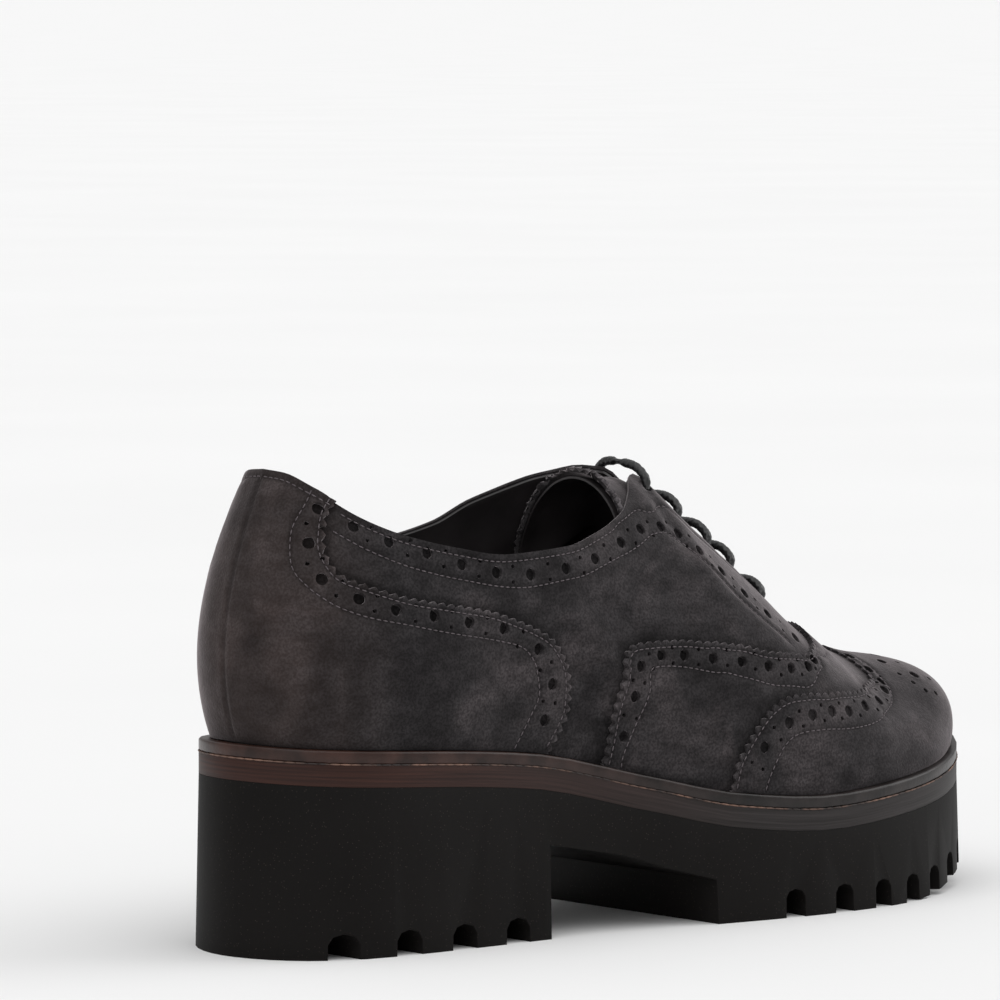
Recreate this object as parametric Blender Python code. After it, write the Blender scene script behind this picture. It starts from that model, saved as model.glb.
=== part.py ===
# Right-foot lace-up brogue with a lugged platform sole and block heel.
# Metres, +X towards the toe, +Y towards the inner side of the foot, +Z up.
import math
from collections import namedtuple

import bmesh
import bpy
import numpy as np

# Driving sizes
SOLE_LENGTH = 0.270
BALL_WIDTH = 0.092
HEEL_WIDTH = 0.065
BACK_HEIGHT = 0.1297
HEEL_RAISE = 0.0569
WALL = 0.0020
GAP = 0.0003

# Layers of the bottom, measured down from the welt's top
WELT_THICK = 0.0033
MIDSOLE_THICK = 0.0055
INSOLE_PROUD = 0.0014
INSOLE_CLEAR = 0.0006
SOLE_FLARE = 0.0010

# Overlays on the upper
OVERLAY_LIFT = 0.0006
OVERLAY_SKIN = 0.0011
CAP_SKIN = 0.0019

# Resolution of the lofts
PLAN_STEPS = 30
SOLE_STATIONS = 40
UPPER_STATIONS = 40
UPPER_ROWS = 9
COUNTER_COLUMNS = 25
VAMP_BACK_COLUMNS = 24
VAMP_FRONT_COLUMNS = 8
PANEL_LEVELS = 8
CAP_WING_COLUMNS = 17
CAP_TIP_COLUMNS = 10
CAP_LEVELS = 11
TONGUE_ROWS = 9
ARCH_POINTS = 8
LACE_STEPS = 6
LACE_SIDES = 6
CORNER_STEPS = 3
EDGE_SAMPLES = 400

# Plan of the sole: along as a share of the length, out as shares of heel and ball half widths
Plan = namedtuple("Plan", "along heel ball")
OUTER_PLAN = (
    Plan(0.015, 0.47, 0.00),
    Plan(0.052, 0.80, 0.00),
    Plan(0.111, 0.97, 0.00),
    Plan(0.222, 1.03, 0.00),
    Plan(0.352, 1.06, 0.00),
    Plan(0.481, 0.583, 0.455),
    Plan(0.593, 0.159, 0.859),
    Plan(0.678, 0.00, 1.011),
    Plan(0.770, 0.00, 0.976),
    Plan(0.859, 0.00, 0.809),
    Plan(0.933, 0.00, 0.516),
    Plan(0.981, 0.00, 0.137),
)
INNER_PLAN = (
    Plan(0.985, 0.00, 0.500),
    Plan(0.941, 0.00, 0.767),
    Plan(0.870, 0.00, 0.920),
    Plan(0.778, 0.00, 0.989),
    Plan(0.685, 0.00, 0.959),
    Plan(0.574, 0.00, 0.811),
    Plan(0.463, 0.00, 0.692),
    Plan(0.352, 0.00, 0.653),
    Plan(0.222, 0.98, 0.00),
    Plan(0.111, 0.97, 0.00),
    Plan(0.052, 0.80, 0.00),
    Plan(0.015, 0.47, 0.00),
)
TOE_SET_IN = 0.174

# Side line of the welt's top: height as a share of the heel raise
Line = namedtuple("Line", "along height")
WELT_LINE = (
    Line(0.000, 1.000),
    Line(0.296, 0.898),
    Line(0.444, 0.740),
    Line(0.556, 0.624),
    Line(0.667, 0.580),
    Line(0.778, 0.612),
    Line(0.889, 0.668),
    Line(1.000, 0.773),
)

# Underside: block heel, waist and toe spring, height as a share of the heel raise
WAIST_LINE = (
    Line(0.3185, 0.453),
    Line(0.411, 0.371),
    Line(0.461, 0.294),
    Line(0.509, 0.232),
    Line(0.520, 0.216),
)
TREAD_START = 0.523
SPRING_LINE = (
    Line(0.790, 0.000),
    Line(0.840, 0.018),
    Line(0.896, 0.070),
    Line(0.950, 0.115),
    Line(1.010, 0.165),
)

# Tread slots, along the edge as a share of the sole length
HEEL_SLOTS = (0.066, 0.137, 0.206, 0.275)
TOE_SLOTS = (0.0, 0.0504, 0.1007, 0.151, 0.202, 0.2526, 0.3007, 0.353, 0.411, 0.477)
SLOT_WIDTH = 0.0066
HEEL_SLOT_WIDTH = 0.0082
SLOT_HEIGHT = 0.0080
HEEL_SLOT_HEIGHT = 0.0070
SLOT_REACH = 0.0130
SLOT_CORNER = 0.35
SLOT_DRAFT = 0.0004
SLOT_CROWN_INSET = 0.0001
CUT_OVERRUN = 0.0100
SLOT_OVERRUN = 0.0050
EDGE_STEP = 0.0020

# How far the upper's foot stands in from the sole's edge
Reach = namedtuple("Reach", "along inset")
WELT_REACH = (
    Reach(0.00, 0.0032),
    Reach(0.15, 0.0032),
    Reach(0.44, 0.0042),
    Reach(0.74, 0.0050),
    Reach(1.00, 0.0041),
)

# Sections of the upper from heel to toe. foot and top_x are shares of the sole length,
# top_half and the outward handles are shares of the ball width, top_z and lift are shares
# of the back height, and the two handle heights are shares of each section's rise.
Section = namedtuple("Section", "foot top_x top_half top_z low_out low_up high_out high_up lift")
SECTIONS = (
    Section(0.000, 0.052, 0.000, 1.000, 0.098, 0.36, 0.114, 0.700, 0.000),
    Section(0.015, 0.056, 0.076, 0.995, 0.098, 0.36, 0.114, 0.700, 0.000),
    Section(0.044, 0.068, 0.145, 0.971, 0.087, 0.36, 0.098, 0.700, 0.000),
    Section(0.104, 0.101, 0.220, 0.924, 0.071, 0.36, 0.076, 0.700, 0.000),
    Section(0.163, 0.158, 0.283, 0.865, 0.054, 0.36, 0.054, 0.700, 0.000),
    Section(0.222, 0.214, 0.310, 0.833, 0.043, 0.36, 0.043, 0.700, 0.000),
    Section(0.296, 0.276, 0.326, 0.813, 0.038, 0.36, 0.043, 0.700, 0.002),
    Section(0.385, 0.360, 0.315, 0.821, 0.033, 0.38, 0.060, 0.720, 0.023),
    Section(0.452, 0.407, 0.283, 0.842, 0.027, 0.40, 0.082, 0.770, 0.042),
    Section(0.511, 0.460, 0.228, 0.880, 0.022, 0.42, 0.109, 0.840, 0.046),
    Section(0.544, 0.487, 0.168, 0.913, 0.022, 0.44, 0.130, 0.880, 0.035),
    Section(0.567, 0.506, 0.109, 0.941, 0.022, 0.46, 0.147, 0.910, 0.019),
    Section(0.585, 0.524, 0.065, 0.948, 0.022, 0.48, 0.152, 0.920, 0.008),
    Section(0.622, 0.574, 0.059, 0.874, 0.016, 0.50, 0.158, 0.925, 0.000),
    Section(0.667, 0.622, 0.052, 0.802, 0.016, 0.50, 0.152, 0.910, 0.000),
    Section(0.704, 0.663, 0.046, 0.739, 0.016, 0.50, 0.141, 0.900, 0.000),
    Section(0.737, 0.702, 0.039, 0.672, 0.016, 0.49, 0.130, 0.900, 0.000),
    Section(0.767, 0.737, 0.030, 0.614, 0.016, 0.48, 0.120, 0.930, 0.000),
    Section(0.793, 0.769, 0.000, 0.566, 0.016, 0.48, 0.109, 1.000, 0.000),
    Section(0.822, 0.807, 0.000, 0.523, 0.016, 0.50, 0.141, 1.000, 0.000),
    Section(0.859, 0.852, 0.000, 0.500, 0.020, 0.54, 0.185, 1.000, 0.000),
    Section(0.900, 0.896, 0.000, 0.486, 0.033, 0.58, 0.223, 1.000, 0.000),
    Section(0.937, 0.936, 0.000, 0.466, 0.039, 0.60, 0.185, 1.000, 0.000),
    Section(0.963, 0.963, 0.000, 0.426, 0.030, 0.60, 0.120, 1.000, 0.000),
)
SLOT_END = 0.780
RIDGE_START = 0.72
RIDGE_BEND = 1.6
HANDLE_TURN = 0.22
ANGLE_STEP = 0.001
GRID_STEP = 0.003
FOOT_HOLD = 0.3

# Edges of the overlays on the upper's own grid: station as a share of the way round from
# heel to toe, rise as a share of the way up the section.
Edge = namedtuple("Edge", "station rise")
COUNTER_TOP = (
    Edge(0.000, 1.000),
    Edge(0.120, 0.990),
    Edge(0.145, 0.900),
    Edge(0.156, 0.760),
    Edge(0.172, 0.690),
    Edge(0.222, 0.680),
    Edge(0.282, 0.690),
    Edge(0.342, 0.690),
    Edge(0.380, 0.610),
    Edge(0.402, 0.475),
)
COUNTER_END = (
    Edge(0.388, 0.000),
    Edge(0.400, 0.140),
    Edge(0.407, 0.315),
    Edge(0.407, 0.400),
    Edge(0.402, 0.475),
)
VAMP_TOP = (
    Edge(0.433, 0.000),
    Edge(0.443, 0.220),
    Edge(0.455, 0.365),
    Edge(0.463, 0.450),
    Edge(0.480, 0.480),
    Edge(0.512, 0.440),
    Edge(0.537, 0.385),
    Edge(0.560, 0.350),
    Edge(0.587, 0.375),
    Edge(0.622, 0.430),
    Edge(0.650, 0.505),
    Edge(0.685, 0.700),
    Edge(0.712, 1.000),
)
CAP_TOP = (
    Edge(0.535, 0.000),
    Edge(0.540, 0.065),
    Edge(0.548, 0.105),
    Edge(0.560, 0.150),
    Edge(0.590, 0.245),
    Edge(0.618, 0.290),
    Edge(0.653, 0.350),
    Edge(0.703, 0.455),
    Edge(0.733, 0.570),
    Edge(0.743, 0.645),
    Edge(0.748, 0.735),
    Edge(0.756, 1.000),
)
SEAM_STATION = 0.0016
SEAM_RISE = 0.0065

# Tongue under the facings and its free top end
TONGUE_CLEAR = 0.0013
TONGUE_THICK = 0.0024
TONGUE_FOOT = 0.700
TONGUE_HEAD = 0.560
TONGUE_RISE = 0.70
Push = namedtuple("Push", "back up narrow droop")
TONGUE_TOP = (
    Push(0.0050, 0.0016, 0.98, 0.0000),
    Push(0.0105, 0.0018, 0.96, 0.0006),
    Push(0.0160, 0.0004, 0.92, 0.0014),
)

# Lace bars across the facings
Eyelet = namedtuple("Eyelet", "station rise")
EYELETS = (
    Eyelet(0.566, 0.860),
    Eyelet(0.590, 0.855),
    Eyelet(0.614, 0.850),
    Eyelet(0.638, 0.850),
    Eyelet(0.661, 0.850),
)
LACE_THICK = 0.0026
LACE_ARCH = 0.0026
LACE_ROUND = 0.7
LACE_CLEAR = 0.0006
LACE_SEAT = 0.0004

HEEL_HALF = HEEL_WIDTH / 2
BALL_HALF = BALL_WIDTH / 2
LAYERS = WELT_THICK + MIDSOLE_THICK + 2 * GAP
OUTER = -1
INNER = 1


# Curves
def smooth_curve(xs, ys):
    """Monotone cubic through the rows of a table."""
    xs = np.asarray(xs, float)
    ys = np.asarray(ys, float)
    step = np.diff(xs)
    rate = np.diff(ys) / step
    slope = np.zeros(len(xs))
    slope[0] = rate[0]
    slope[-1] = rate[-1]
    for i in range(1, len(xs) - 1):
        if rate[i - 1] * rate[i] > 0:
            ahead = 2 * step[i] + step[i - 1]
            behind = step[i] + 2 * step[i - 1]
            slope[i] = (ahead + behind) / (ahead / rate[i - 1] + behind / rate[i])

    def value(x):
        x = np.asarray(x, float)
        i = np.clip(np.searchsorted(xs, x) - 1, 0, len(xs) - 2)
        t = np.clip((x - xs[i]) / step[i], 0, 1)
        a = (2 * t ** 3 - 3 * t ** 2 + 1) * ys[i]
        b = (t ** 3 - 2 * t ** 2 + t) * step[i] * slope[i]
        c = (-2 * t ** 3 + 3 * t ** 2) * ys[i + 1]
        d = (t ** 3 - t ** 2) * step[i] * slope[i + 1]
        return a + b + c + d

    return value


def closed_loop(points, per_span):
    """Rounded closed curve through the points."""
    points = np.asarray(points, float)
    count = len(points)
    loop = []
    for i in range(count):
        p0, p1, p2, p3 = (points[(i + k) % count] for k in (-1, 0, 1, 2))
        for t in np.linspace(0, 1, per_span, endpoint=False):
            cubic = -p0 + 3 * p1 - 3 * p2 + p3
            square = 2 * p0 - 5 * p1 + 4 * p2 - p3
            loop.append(0.5 * (2 * p1 + (p2 - p0) * t + square * t ** 2 + cubic * t ** 3))
    return np.array(loop)


def plan_loop():
    toe = TOE_SET_IN * BALL_HALF
    points = [(0.0, 0.0)]
    for row in OUTER_PLAN:
        points.append((row.along * SOLE_LENGTH, -(row.heel * HEEL_HALF + row.ball * BALL_HALF)))
    points.append((SOLE_LENGTH, toe))
    for row in INNER_PLAN:
        points.append((row.along * SOLE_LENGTH, row.heel * HEEL_HALF + row.ball * BALL_HALF))
    return closed_loop(points, PLAN_STEPS)


def move_in(loop, inset):
    """The loop moved inwards by an inset that may change along the shoe."""
    ahead = np.roll(loop, -1, 0) - np.roll(loop, 1, 0)
    ahead = ahead / np.linalg.norm(ahead, axis=1)[:, None]
    inward = np.column_stack([-ahead[:, 1], ahead[:, 0]])
    return loop + inward * np.broadcast_to(inset, len(loop))[:, None]


class Outline:
    """A closed plan read from heel to toe: half widths at any x, both sides."""

    def __init__(self, loop):
        loop = np.roll(loop, -int(loop[:, 0].argmin()), 0)
        toe = int(loop[:, 0].argmax())
        self.outer = loop[:toe + 1]
        self.inner = np.vstack([loop[toe:], loop[:1]])[::-1]
        self.heel = self.outer[0]
        self.toe = self.outer[-1]

    def x(self, angle):
        return self.heel[0] + (self.toe[0] - self.heel[0]) * (1 - np.cos(angle)) / 2

    def y(self, side, x):
        half = self.outer if side == OUTER else self.inner
        return np.interp(x, half[:, 0], half[:, 1])

    def angle(self, x):
        share = (np.asarray(x, float) - self.heel[0]) / (self.toe[0] - self.heel[0])
        return np.arccos(np.clip(1 - 2 * share, -1, 1))


def table_curve(rows):
    return smooth_curve([r.along * SOLE_LENGTH for r in rows], [r.height * HEEL_RAISE for r in rows])


welt_top = table_curve(WELT_LINE)
SOLE_PLAN = plan_loop()
REACH = np.interp(
    SOLE_PLAN[:, 0],
    [r.along * SOLE_LENGTH for r in WELT_REACH],
    [r.inset for r in WELT_REACH],
)
FOOT_LINE = Outline(move_in(SOLE_PLAN, REACH))

# The upper's own function
FOOT_ANGLES = [float(FOOT_LINE.angle(s.foot * SOLE_LENGTH)) for s in SECTIONS]
FOOT_ANGLES[0] = 0.0


def section_curve(values, at_toe):
    return smooth_curve(FOOT_ANGLES + [math.pi], list(values) + [at_toe])


TOE_X = float(FOOT_LINE.toe[0])
top_x = section_curve((s.top_x * SOLE_LENGTH for s in SECTIONS), TOE_X)
top_half = section_curve((s.top_half * BALL_WIDTH for s in SECTIONS), 0.0)
top_z = section_curve((s.top_z * BACK_HEIGHT for s in SECTIONS), float(welt_top(TOE_X)) + GAP)
low_out = section_curve((s.low_out * BALL_WIDTH for s in SECTIONS), 0.0)
low_up = section_curve((s.low_up for s in SECTIONS), 0.56)
high_out = section_curve((s.high_out * BALL_WIDTH for s in SECTIONS), 0.0)
high_up = section_curve((s.high_up for s in SECTIONS), 1.0)
inner_lift = section_curve((s.lift * BACK_HEIGHT for s in SECTIONS), 0.0)


def centre_line(x):
    """The ridge swings to the inner side as it nears the toe."""
    start = RIDGE_START * SOLE_LENGTH
    share = np.clip((x - start) / (TOE_X - start), 0, 1)
    return FOOT_LINE.toe[1] * share ** RIDGE_BEND


def upper_point(station, rise, side):
    """Point of the upper's outside: station 0 heel to 1 toe, rise 0 foot to 1 top."""
    angle = np.clip(np.asarray(station, float), 0, 1) * math.pi
    rise = np.clip(np.asarray(rise, float), 0, 1)
    angle, rise = np.broadcast_arrays(angle, rise)
    x = FOOT_LINE.x(angle)
    y = FOOT_LINE.y(side, x)
    foot = welt_top(x) + GAP
    ahead = FOOT_LINE.x(np.clip(angle + ANGLE_STEP, 0, math.pi))
    behind = FOOT_LINE.x(np.clip(angle - ANGLE_STEP, 0, math.pi))
    run_x = ahead - behind
    run_y = FOOT_LINE.y(side, ahead) - FOOT_LINE.y(side, behind)
    size = np.hypot(run_x, run_y) + 1e-12
    out_x = -run_y / size
    out_y = run_x / size
    turn = np.where(out_y * side >= 0, 1, -1)
    out_x = np.where(angle < 1e-6, -1.0, out_x * turn)
    out_y = np.where(angle < 1e-6, 0.0, out_y * turn)
    square = np.clip(x / SOLE_LENGTH / HANDLE_TURN - 1, 0, 1)
    side_x = out_x * (1 - square)
    side_y = out_y * (1 - square) + side * square
    size = np.hypot(side_x, side_y)
    side_x = side_x / size
    side_y = side_y / size
    tx = top_x(angle)
    half = top_half(angle)
    half = np.where(angle >= FOOT_LINE.angle(SLOT_END * SOLE_LENGTH), 0.0, half)
    ty = side * half + centre_line(tx)
    tz = top_z(angle) + (inner_lift(angle) if side == INNER else 0.0)
    climb = tz - foot
    a = np.stack([x, y, foot], -1)
    b = np.stack([x + out_x * low_out(angle), y + out_y * low_out(angle), foot + low_up(angle) * climb], -1)
    c = np.stack([tx + side_x * high_out(angle), ty + side_y * high_out(angle), foot + high_up(angle) * climb], -1)
    d = np.stack([tx, ty, tz], -1)
    t = rise[..., None]
    return (1 - t) ** 3 * a + 3 * (1 - t) ** 2 * t * b + 3 * (1 - t) * t ** 2 * c + t ** 3 * d


def upper_normal(station, rise, side):
    """Outward direction of the upper's outside."""
    station, rise = np.broadcast_arrays(np.asarray(station, float), np.asarray(rise, float))
    near = np.clip(station, GRID_STEP, 1 - 2 * GRID_STEP)
    along = upper_point(near + GRID_STEP, rise, side) - upper_point(near - GRID_STEP, rise, side)
    low = np.clip(rise - GRID_STEP, 0, 1)
    high = np.clip(rise + GRID_STEP, 0, 1)
    up = upper_point(near, high, side) - upper_point(near, low, side)
    normal = np.cross(along, up) if side == OUTER else np.cross(up, along)
    return normal / (np.linalg.norm(normal, axis=-1)[..., None] + 1e-15)


# Building solids
def new_mesh(name, verts, faces):
    mesh = bpy.data.meshes.new(name)
    mesh.from_pydata([tuple(map(float, v)) for v in verts], [], [tuple(f) for f in faces])
    mesh.validate()
    work = bmesh.new()
    work.from_mesh(mesh)
    bmesh.ops.triangulate(work, faces=[f for f in work.faces if len(f.verts) > 4])
    bmesh.ops.recalc_face_normals(work, faces=work.faces)
    if work.calc_volume(signed=True) < 0:
        bmesh.ops.reverse_faces(work, faces=work.faces)
    work.to_mesh(mesh)
    work.free()
    return mesh


def slab(upper_loop, lower_loop, top, bottom, stations):
    """Solid between two plans, cut in strips across so that each strip is flat."""
    angles = np.linspace(0, math.pi, stations + 1)
    verts = []
    layers = []
    for outline, height in ((upper_loop, top), (lower_loop, bottom)):
        xs = outline.x(angles)
        rows = []
        for side in (OUTER, INNER):
            ys = outline.y(side, xs)
            row = []
            for i, (x, y) in enumerate(zip(xs, ys)):
                if side == INNER and i in (0, stations):
                    row.append(rows[0][i])
                    continue
                row.append(len(verts))
                verts.append((x, y, float(height(x))))
            rows.append(row)
        layers.append(rows)
    (top_out, top_in), (low_out_row, low_in_row) = layers
    faces = []
    for i in range(stations):
        for out_row, in_row in ((top_out, top_in), (low_out_row, low_in_row)):
            face = [out_row[i], out_row[i + 1], in_row[i + 1], in_row[i]]
            faces.append(list(dict.fromkeys(face)))
        faces.append([top_out[i], top_out[i + 1], low_out_row[i + 1], low_out_row[i]])
        faces.append([top_in[i], top_in[i + 1], low_in_row[i + 1], low_in_row[i]])
    return verts, faces


def ring(outer_loop, inner_loop, top, bottom, stations):
    """Flat ring between two plans."""
    angles = np.linspace(0, math.pi, stations + 1)
    verts = []
    rows = []
    for outline in (outer_loop, inner_loop):
        xs = outline.x(angles)
        outer_half = list(zip(xs, outline.y(OUTER, xs)))
        inner_half = list(zip(xs, outline.y(INNER, xs)))
        loop = outer_half + inner_half[-2:0:-1]
        for height in (top, bottom):
            row = []
            for x, y in loop:
                row.append(len(verts))
                verts.append((x, y, float(height(x))))
            rows.append(row)
    outer_top, outer_low, inner_top, inner_low = rows
    faces = []
    count = len(outer_top)
    for i in range(count):
        j = (i + 1) % count
        faces.append([outer_top[i], outer_top[j], inner_top[j], inner_top[i]])
        faces.append([outer_low[i], outer_low[j], inner_low[j], inner_low[i]])
        faces.append([outer_top[i], outer_top[j], outer_low[j], outer_low[i]])
        faces.append([inner_top[i], inner_top[j], inner_low[j], inner_low[i]])
    return verts, faces


class Sheet:
    """Part of the upper's surface, closed into a solid between two depths."""

    def __init__(self):
        self.index = {}
        self.points = []
        self.normals = []
        self.at_foot = []
        self.faces = []

    def vertex(self, point, normal, at_foot):
        key = tuple(np.round(point * 1e6).astype(int))
        if key not in self.index:
            self.index[key] = len(self.points)
            self.points.append(point)
            self.normals.append(np.zeros(3))
            self.at_foot.append(at_foot)
        i = self.index[key]
        self.normals[i] = self.normals[i] + normal
        self.at_foot[i] = self.at_foot[i] or at_foot
        return i

    def patch(self, stations, rises, side):
        """Add a grid given by two equal arrays of stations and rises."""
        points = upper_point(stations, rises, side)
        normals = upper_normal(stations, rises, side)
        n, m = stations.shape
        grid = [
            [self.vertex(points[i, j], normals[i, j], rises[i, j] < 1e-6) for j in range(m)]
            for i in range(n)
        ]
        for i in range(n - 1):
            for j in range(m - 1):
                face = [grid[i][j], grid[i + 1][j], grid[i + 1][j + 1], grid[i][j + 1]]
                face = list(dict.fromkeys(face))
                if len(face) > 2:
                    self.faces.append(face if side == OUTER else face[::-1])

    def solid(self, outside, inside, foot_gap=GAP):
        points = np.array(self.points)
        normals = np.array(self.normals)
        normals = normals / np.linalg.norm(normals, axis=1)[:, None]
        verts = []
        for depth in (outside, inside):
            layer = points + normals * depth
            floor = welt_top(layer[:, 0]) + foot_gap
            above = floor + FOOT_HOLD * np.maximum(points[:, 2] - welt_top(points[:, 0]) - GAP, 0)
            layer[:, 2] = np.where(self.at_foot, floor, np.maximum(layer[:, 2], above))
            verts.extend(layer)
        count = len(points)
        faces = [list(f) for f in self.faces]
        faces += [[i + count for i in reversed(f)] for f in self.faces]
        edges = {}
        for face in self.faces:
            for a, b in zip(face, face[1:] + face[:1]):
                edges[(a, b)] = edges.get((a, b), 0) + 1
        for a, b in edges:
            if (b, a) not in edges:
                faces.append([b, a, a + count, b + count])
        return verts, faces


def prism(profile, start, end, axis_point, along, across):
    """Closed prism: profile of (across, height) pairs drawn out along a plan direction."""
    count = len(profile)
    verts = []
    for reach in (start, end):
        for offset, height in profile:
            x = axis_point[0] + along[0] * reach + across[0] * offset
            y = axis_point[1] + along[1] * reach + across[1] * offset
            verts.append((x, y, height))
    faces = [list(range(count)), list(range(2 * count - 1, count - 1, -1))]
    for i in range(count):
        j = (i + 1) % count
        faces.append([i, i + count, j + count, j])
    return verts, faces


def tube(path, radius, sides):
    """Round solid along a path, with flat ends."""
    path = np.asarray(path, float)
    ahead = np.gradient(path, axis=0)
    ahead = ahead / np.linalg.norm(ahead, axis=1)[:, None]
    hint = np.cross(ahead[0], ahead[len(ahead) // 2])
    if np.linalg.norm(hint) < 1e-6:
        hint = np.array([1.0, 0.0, 0.0])
    verts = []
    for point, forward in zip(path, ahead):
        one = hint - forward * np.dot(hint, forward)
        one = one / np.linalg.norm(one)
        two = np.cross(forward, one)
        for k in range(sides):
            turn = 2 * math.pi * k / sides
            verts.append(point + radius * (math.cos(turn) * one + math.sin(turn) * two))
    faces = []
    for i in range(len(path) - 1):
        for k in range(sides):
            n = (k + 1) % sides
            faces.append([i * sides + k, (i + 1) * sides + k, (i + 1) * sides + n, i * sides + n])
    last = (len(path) - 1) * sides
    faces.append(list(range(sides)))
    faces.append([last + k for k in reversed(range(sides))])
    return verts, faces


# Scene
for item in list(bpy.data.objects):
    bpy.data.objects.remove(item, do_unlink=True)
parts = bpy.data.collections.new("parts")
cutters = bpy.data.collections.new("cutters")
bpy.context.scene.collection.children.link(parts)
bpy.context.scene.collection.children.link(cutters)


def material(name, red, green, blue, rough):
    made = bpy.data.materials.new(name)
    made.use_nodes = True
    shader = made.node_tree.nodes["Principled BSDF"]
    shader.inputs["Base Color"].default_value = (red, green, blue, 1.0)
    shader.inputs["Roughness"].default_value = rough
    return made


SUEDE = material("charcoal_suede", 0.040, 0.034, 0.035, 0.95)
LEATHER = material("black_leather", 0.010, 0.009, 0.009, 0.6)
WELT_LEATHER = material("dark_welt_leather", 0.030, 0.020, 0.017, 0.5)
STACKED = material("brown_midsole_leather", 0.060, 0.022, 0.014, 0.5)
RUBBER = material("black_rubber", 0.014, 0.012, 0.012, 0.8)
CORD = material("black_lace_cotton", 0.012, 0.012, 0.012, 0.9)


def add_part(name, geometry, look, group=parts):
    item = bpy.data.objects.new(name, new_mesh(name, *geometry))
    item.data.materials.append(look)
    group.objects.link(item)
    return item


# Sole unit
sole_outline = Outline(SOLE_PLAN)
sole_floor = Outline(move_in(SOLE_PLAN, -SOLE_FLARE))
outsole = add_part(
    "outsole",
    slab(sole_outline, sole_floor, lambda x: welt_top(x) - LAYERS - GAP, lambda x: 0.0, SOLE_STATIONS),
    RUBBER,
)

# Cutters for the waist, the toe spring and the tread slots
half_span = BALL_WIDTH
waist = [(r.along * SOLE_LENGTH, r.height * HEEL_RAISE) for r in WAIST_LINE]
waist = [(waist[0][0], -CUT_OVERRUN)] + waist + [(TREAD_START * SOLE_LENGTH, -CUT_OVERRUN)]
spring_line = [(r.along * SOLE_LENGTH, r.height * HEEL_RAISE) for r in SPRING_LINE]
spring_end = spring_line[-1][0] + CUT_OVERRUN
spring = spring_line + [
    (spring_end, spring_line[-1][1]),
    (spring_end, -CUT_OVERRUN),
    (spring_line[0][0], -CUT_OVERRUN),
]


def gather(pieces):
    verts = []
    faces = []
    for piece_verts, piece_faces in pieces:
        start = len(verts)
        verts.extend(piece_verts)
        faces.extend([[i + start for i in face] for face in piece_faces])
    return verts, faces


def across_prism(profile):
    return prism(profile, -half_span, half_span, (0.0, 0.0), (0.0, 1.0), (1.0, 0.0))


def slot_profile(width, height):
    half = width / 2
    corner = SLOT_CORNER * width
    crown = half - SLOT_CROWN_INSET
    profile = [(-half - SLOT_DRAFT, -CUT_OVERRUN), (-half, height - corner)]
    for k in range(1, CORNER_STEPS + 1):
        turn = math.pi - k * math.pi / (CORNER_STEPS + 1)
        profile.append((crown * math.cos(turn), height - corner + corner * math.sin(turn)))
    profile += [(half, height - corner), (half + SLOT_DRAFT, -CUT_OVERRUN)]
    return profile


def spring_height(x):
    return float(np.interp(x, [p[0] for p in spring_line], [p[1] for p in spring_line], left=0.0))


def edge_point(side, from_toe):
    """Plan point and inward direction at a distance along the edge back from the toe tip."""
    half = sole_outline.outer if side == OUTER else sole_outline.inner
    half = half[::-1]
    lengths = np.concatenate([[0], np.cumsum(np.linalg.norm(np.diff(half, axis=0), axis=1))])
    point = np.array([np.interp(from_toe, lengths, half[:, k]) for k in (0, 1)])
    later = np.array([np.interp(from_toe + EDGE_STEP, lengths, half[:, k]) for k in (0, 1)])
    sooner = np.array([np.interp(max(from_toe - EDGE_STEP, 0), lengths, half[:, k]) for k in (0, 1)])
    run = (later - sooner) / np.linalg.norm(later - sooner)
    inward = np.array([run[1], -run[0]]) * (1 if side == OUTER else -1)
    if from_toe == 0:
        inward = np.array([-1.0, 0.0])
        run = np.array([0.0, 1.0])
    return point, inward, run


slots = []
for k, share in enumerate(TOE_SLOTS):
    for side in (OUTER, INNER):
        if share == 0 and side == INNER:
            continue
        point, inward, run = edge_point(side, share * SOLE_LENGTH)
        height = SLOT_HEIGHT + spring_height(point[0])
        profile = slot_profile(SLOT_WIDTH, height)
        slots.append(prism(profile, -SLOT_OVERRUN, SLOT_REACH, point, inward, run))
for share in HEEL_SLOTS:
    x = share * SOLE_LENGTH
    for side in (OUTER, INNER):
        y = float(sole_outline.y(side, x))
        profile = slot_profile(HEEL_SLOT_WIDTH, HEEL_SLOT_HEIGHT)
        slots.append(prism(profile, -SLOT_OVERRUN, SLOT_REACH, (x, y), (0, -side), (1, 0)))


def cut(target, name, geometry):
    cutter = add_part(name, geometry, RUBBER, cutters)
    cutter.hide_render = True
    cutter.display_type = "WIRE"
    step = target.modifiers.new(name, "BOOLEAN")
    step.operation = "DIFFERENCE"
    step.solver = "EXACT"
    step.use_self = True
    step.object = cutter


cut(outsole, "waist_cut", across_prism(waist))
cut(outsole, "spring_cut", across_prism(spring))
cut(outsole, "slot_cut", gather(slots))

# Midsole, welt and insole
add_part(
    "midsole",
    slab(
        sole_outline,
        sole_outline,
        lambda x: welt_top(x) - WELT_THICK - GAP,
        lambda x: welt_top(x) - LAYERS,
        SOLE_STATIONS,
    ),
    STACKED,
)
inner_wall = Outline(move_in(SOLE_PLAN, REACH + WALL))
add_part(
    "welt",
    ring(sole_outline, inner_wall, welt_top, lambda x: welt_top(x) - WELT_THICK, SOLE_STATIONS),
    WELT_LEATHER,
)
insole_line = Outline(move_in(SOLE_PLAN, REACH + WALL + INSOLE_CLEAR))
add_part(
    "insole",
    slab(
        insole_line,
        insole_line,
        lambda x: welt_top(x) + INSOLE_PROUD,
        lambda x: welt_top(x) - WELT_THICK,
        SOLE_STATIONS,
    ),
    LEATHER,
)

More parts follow.
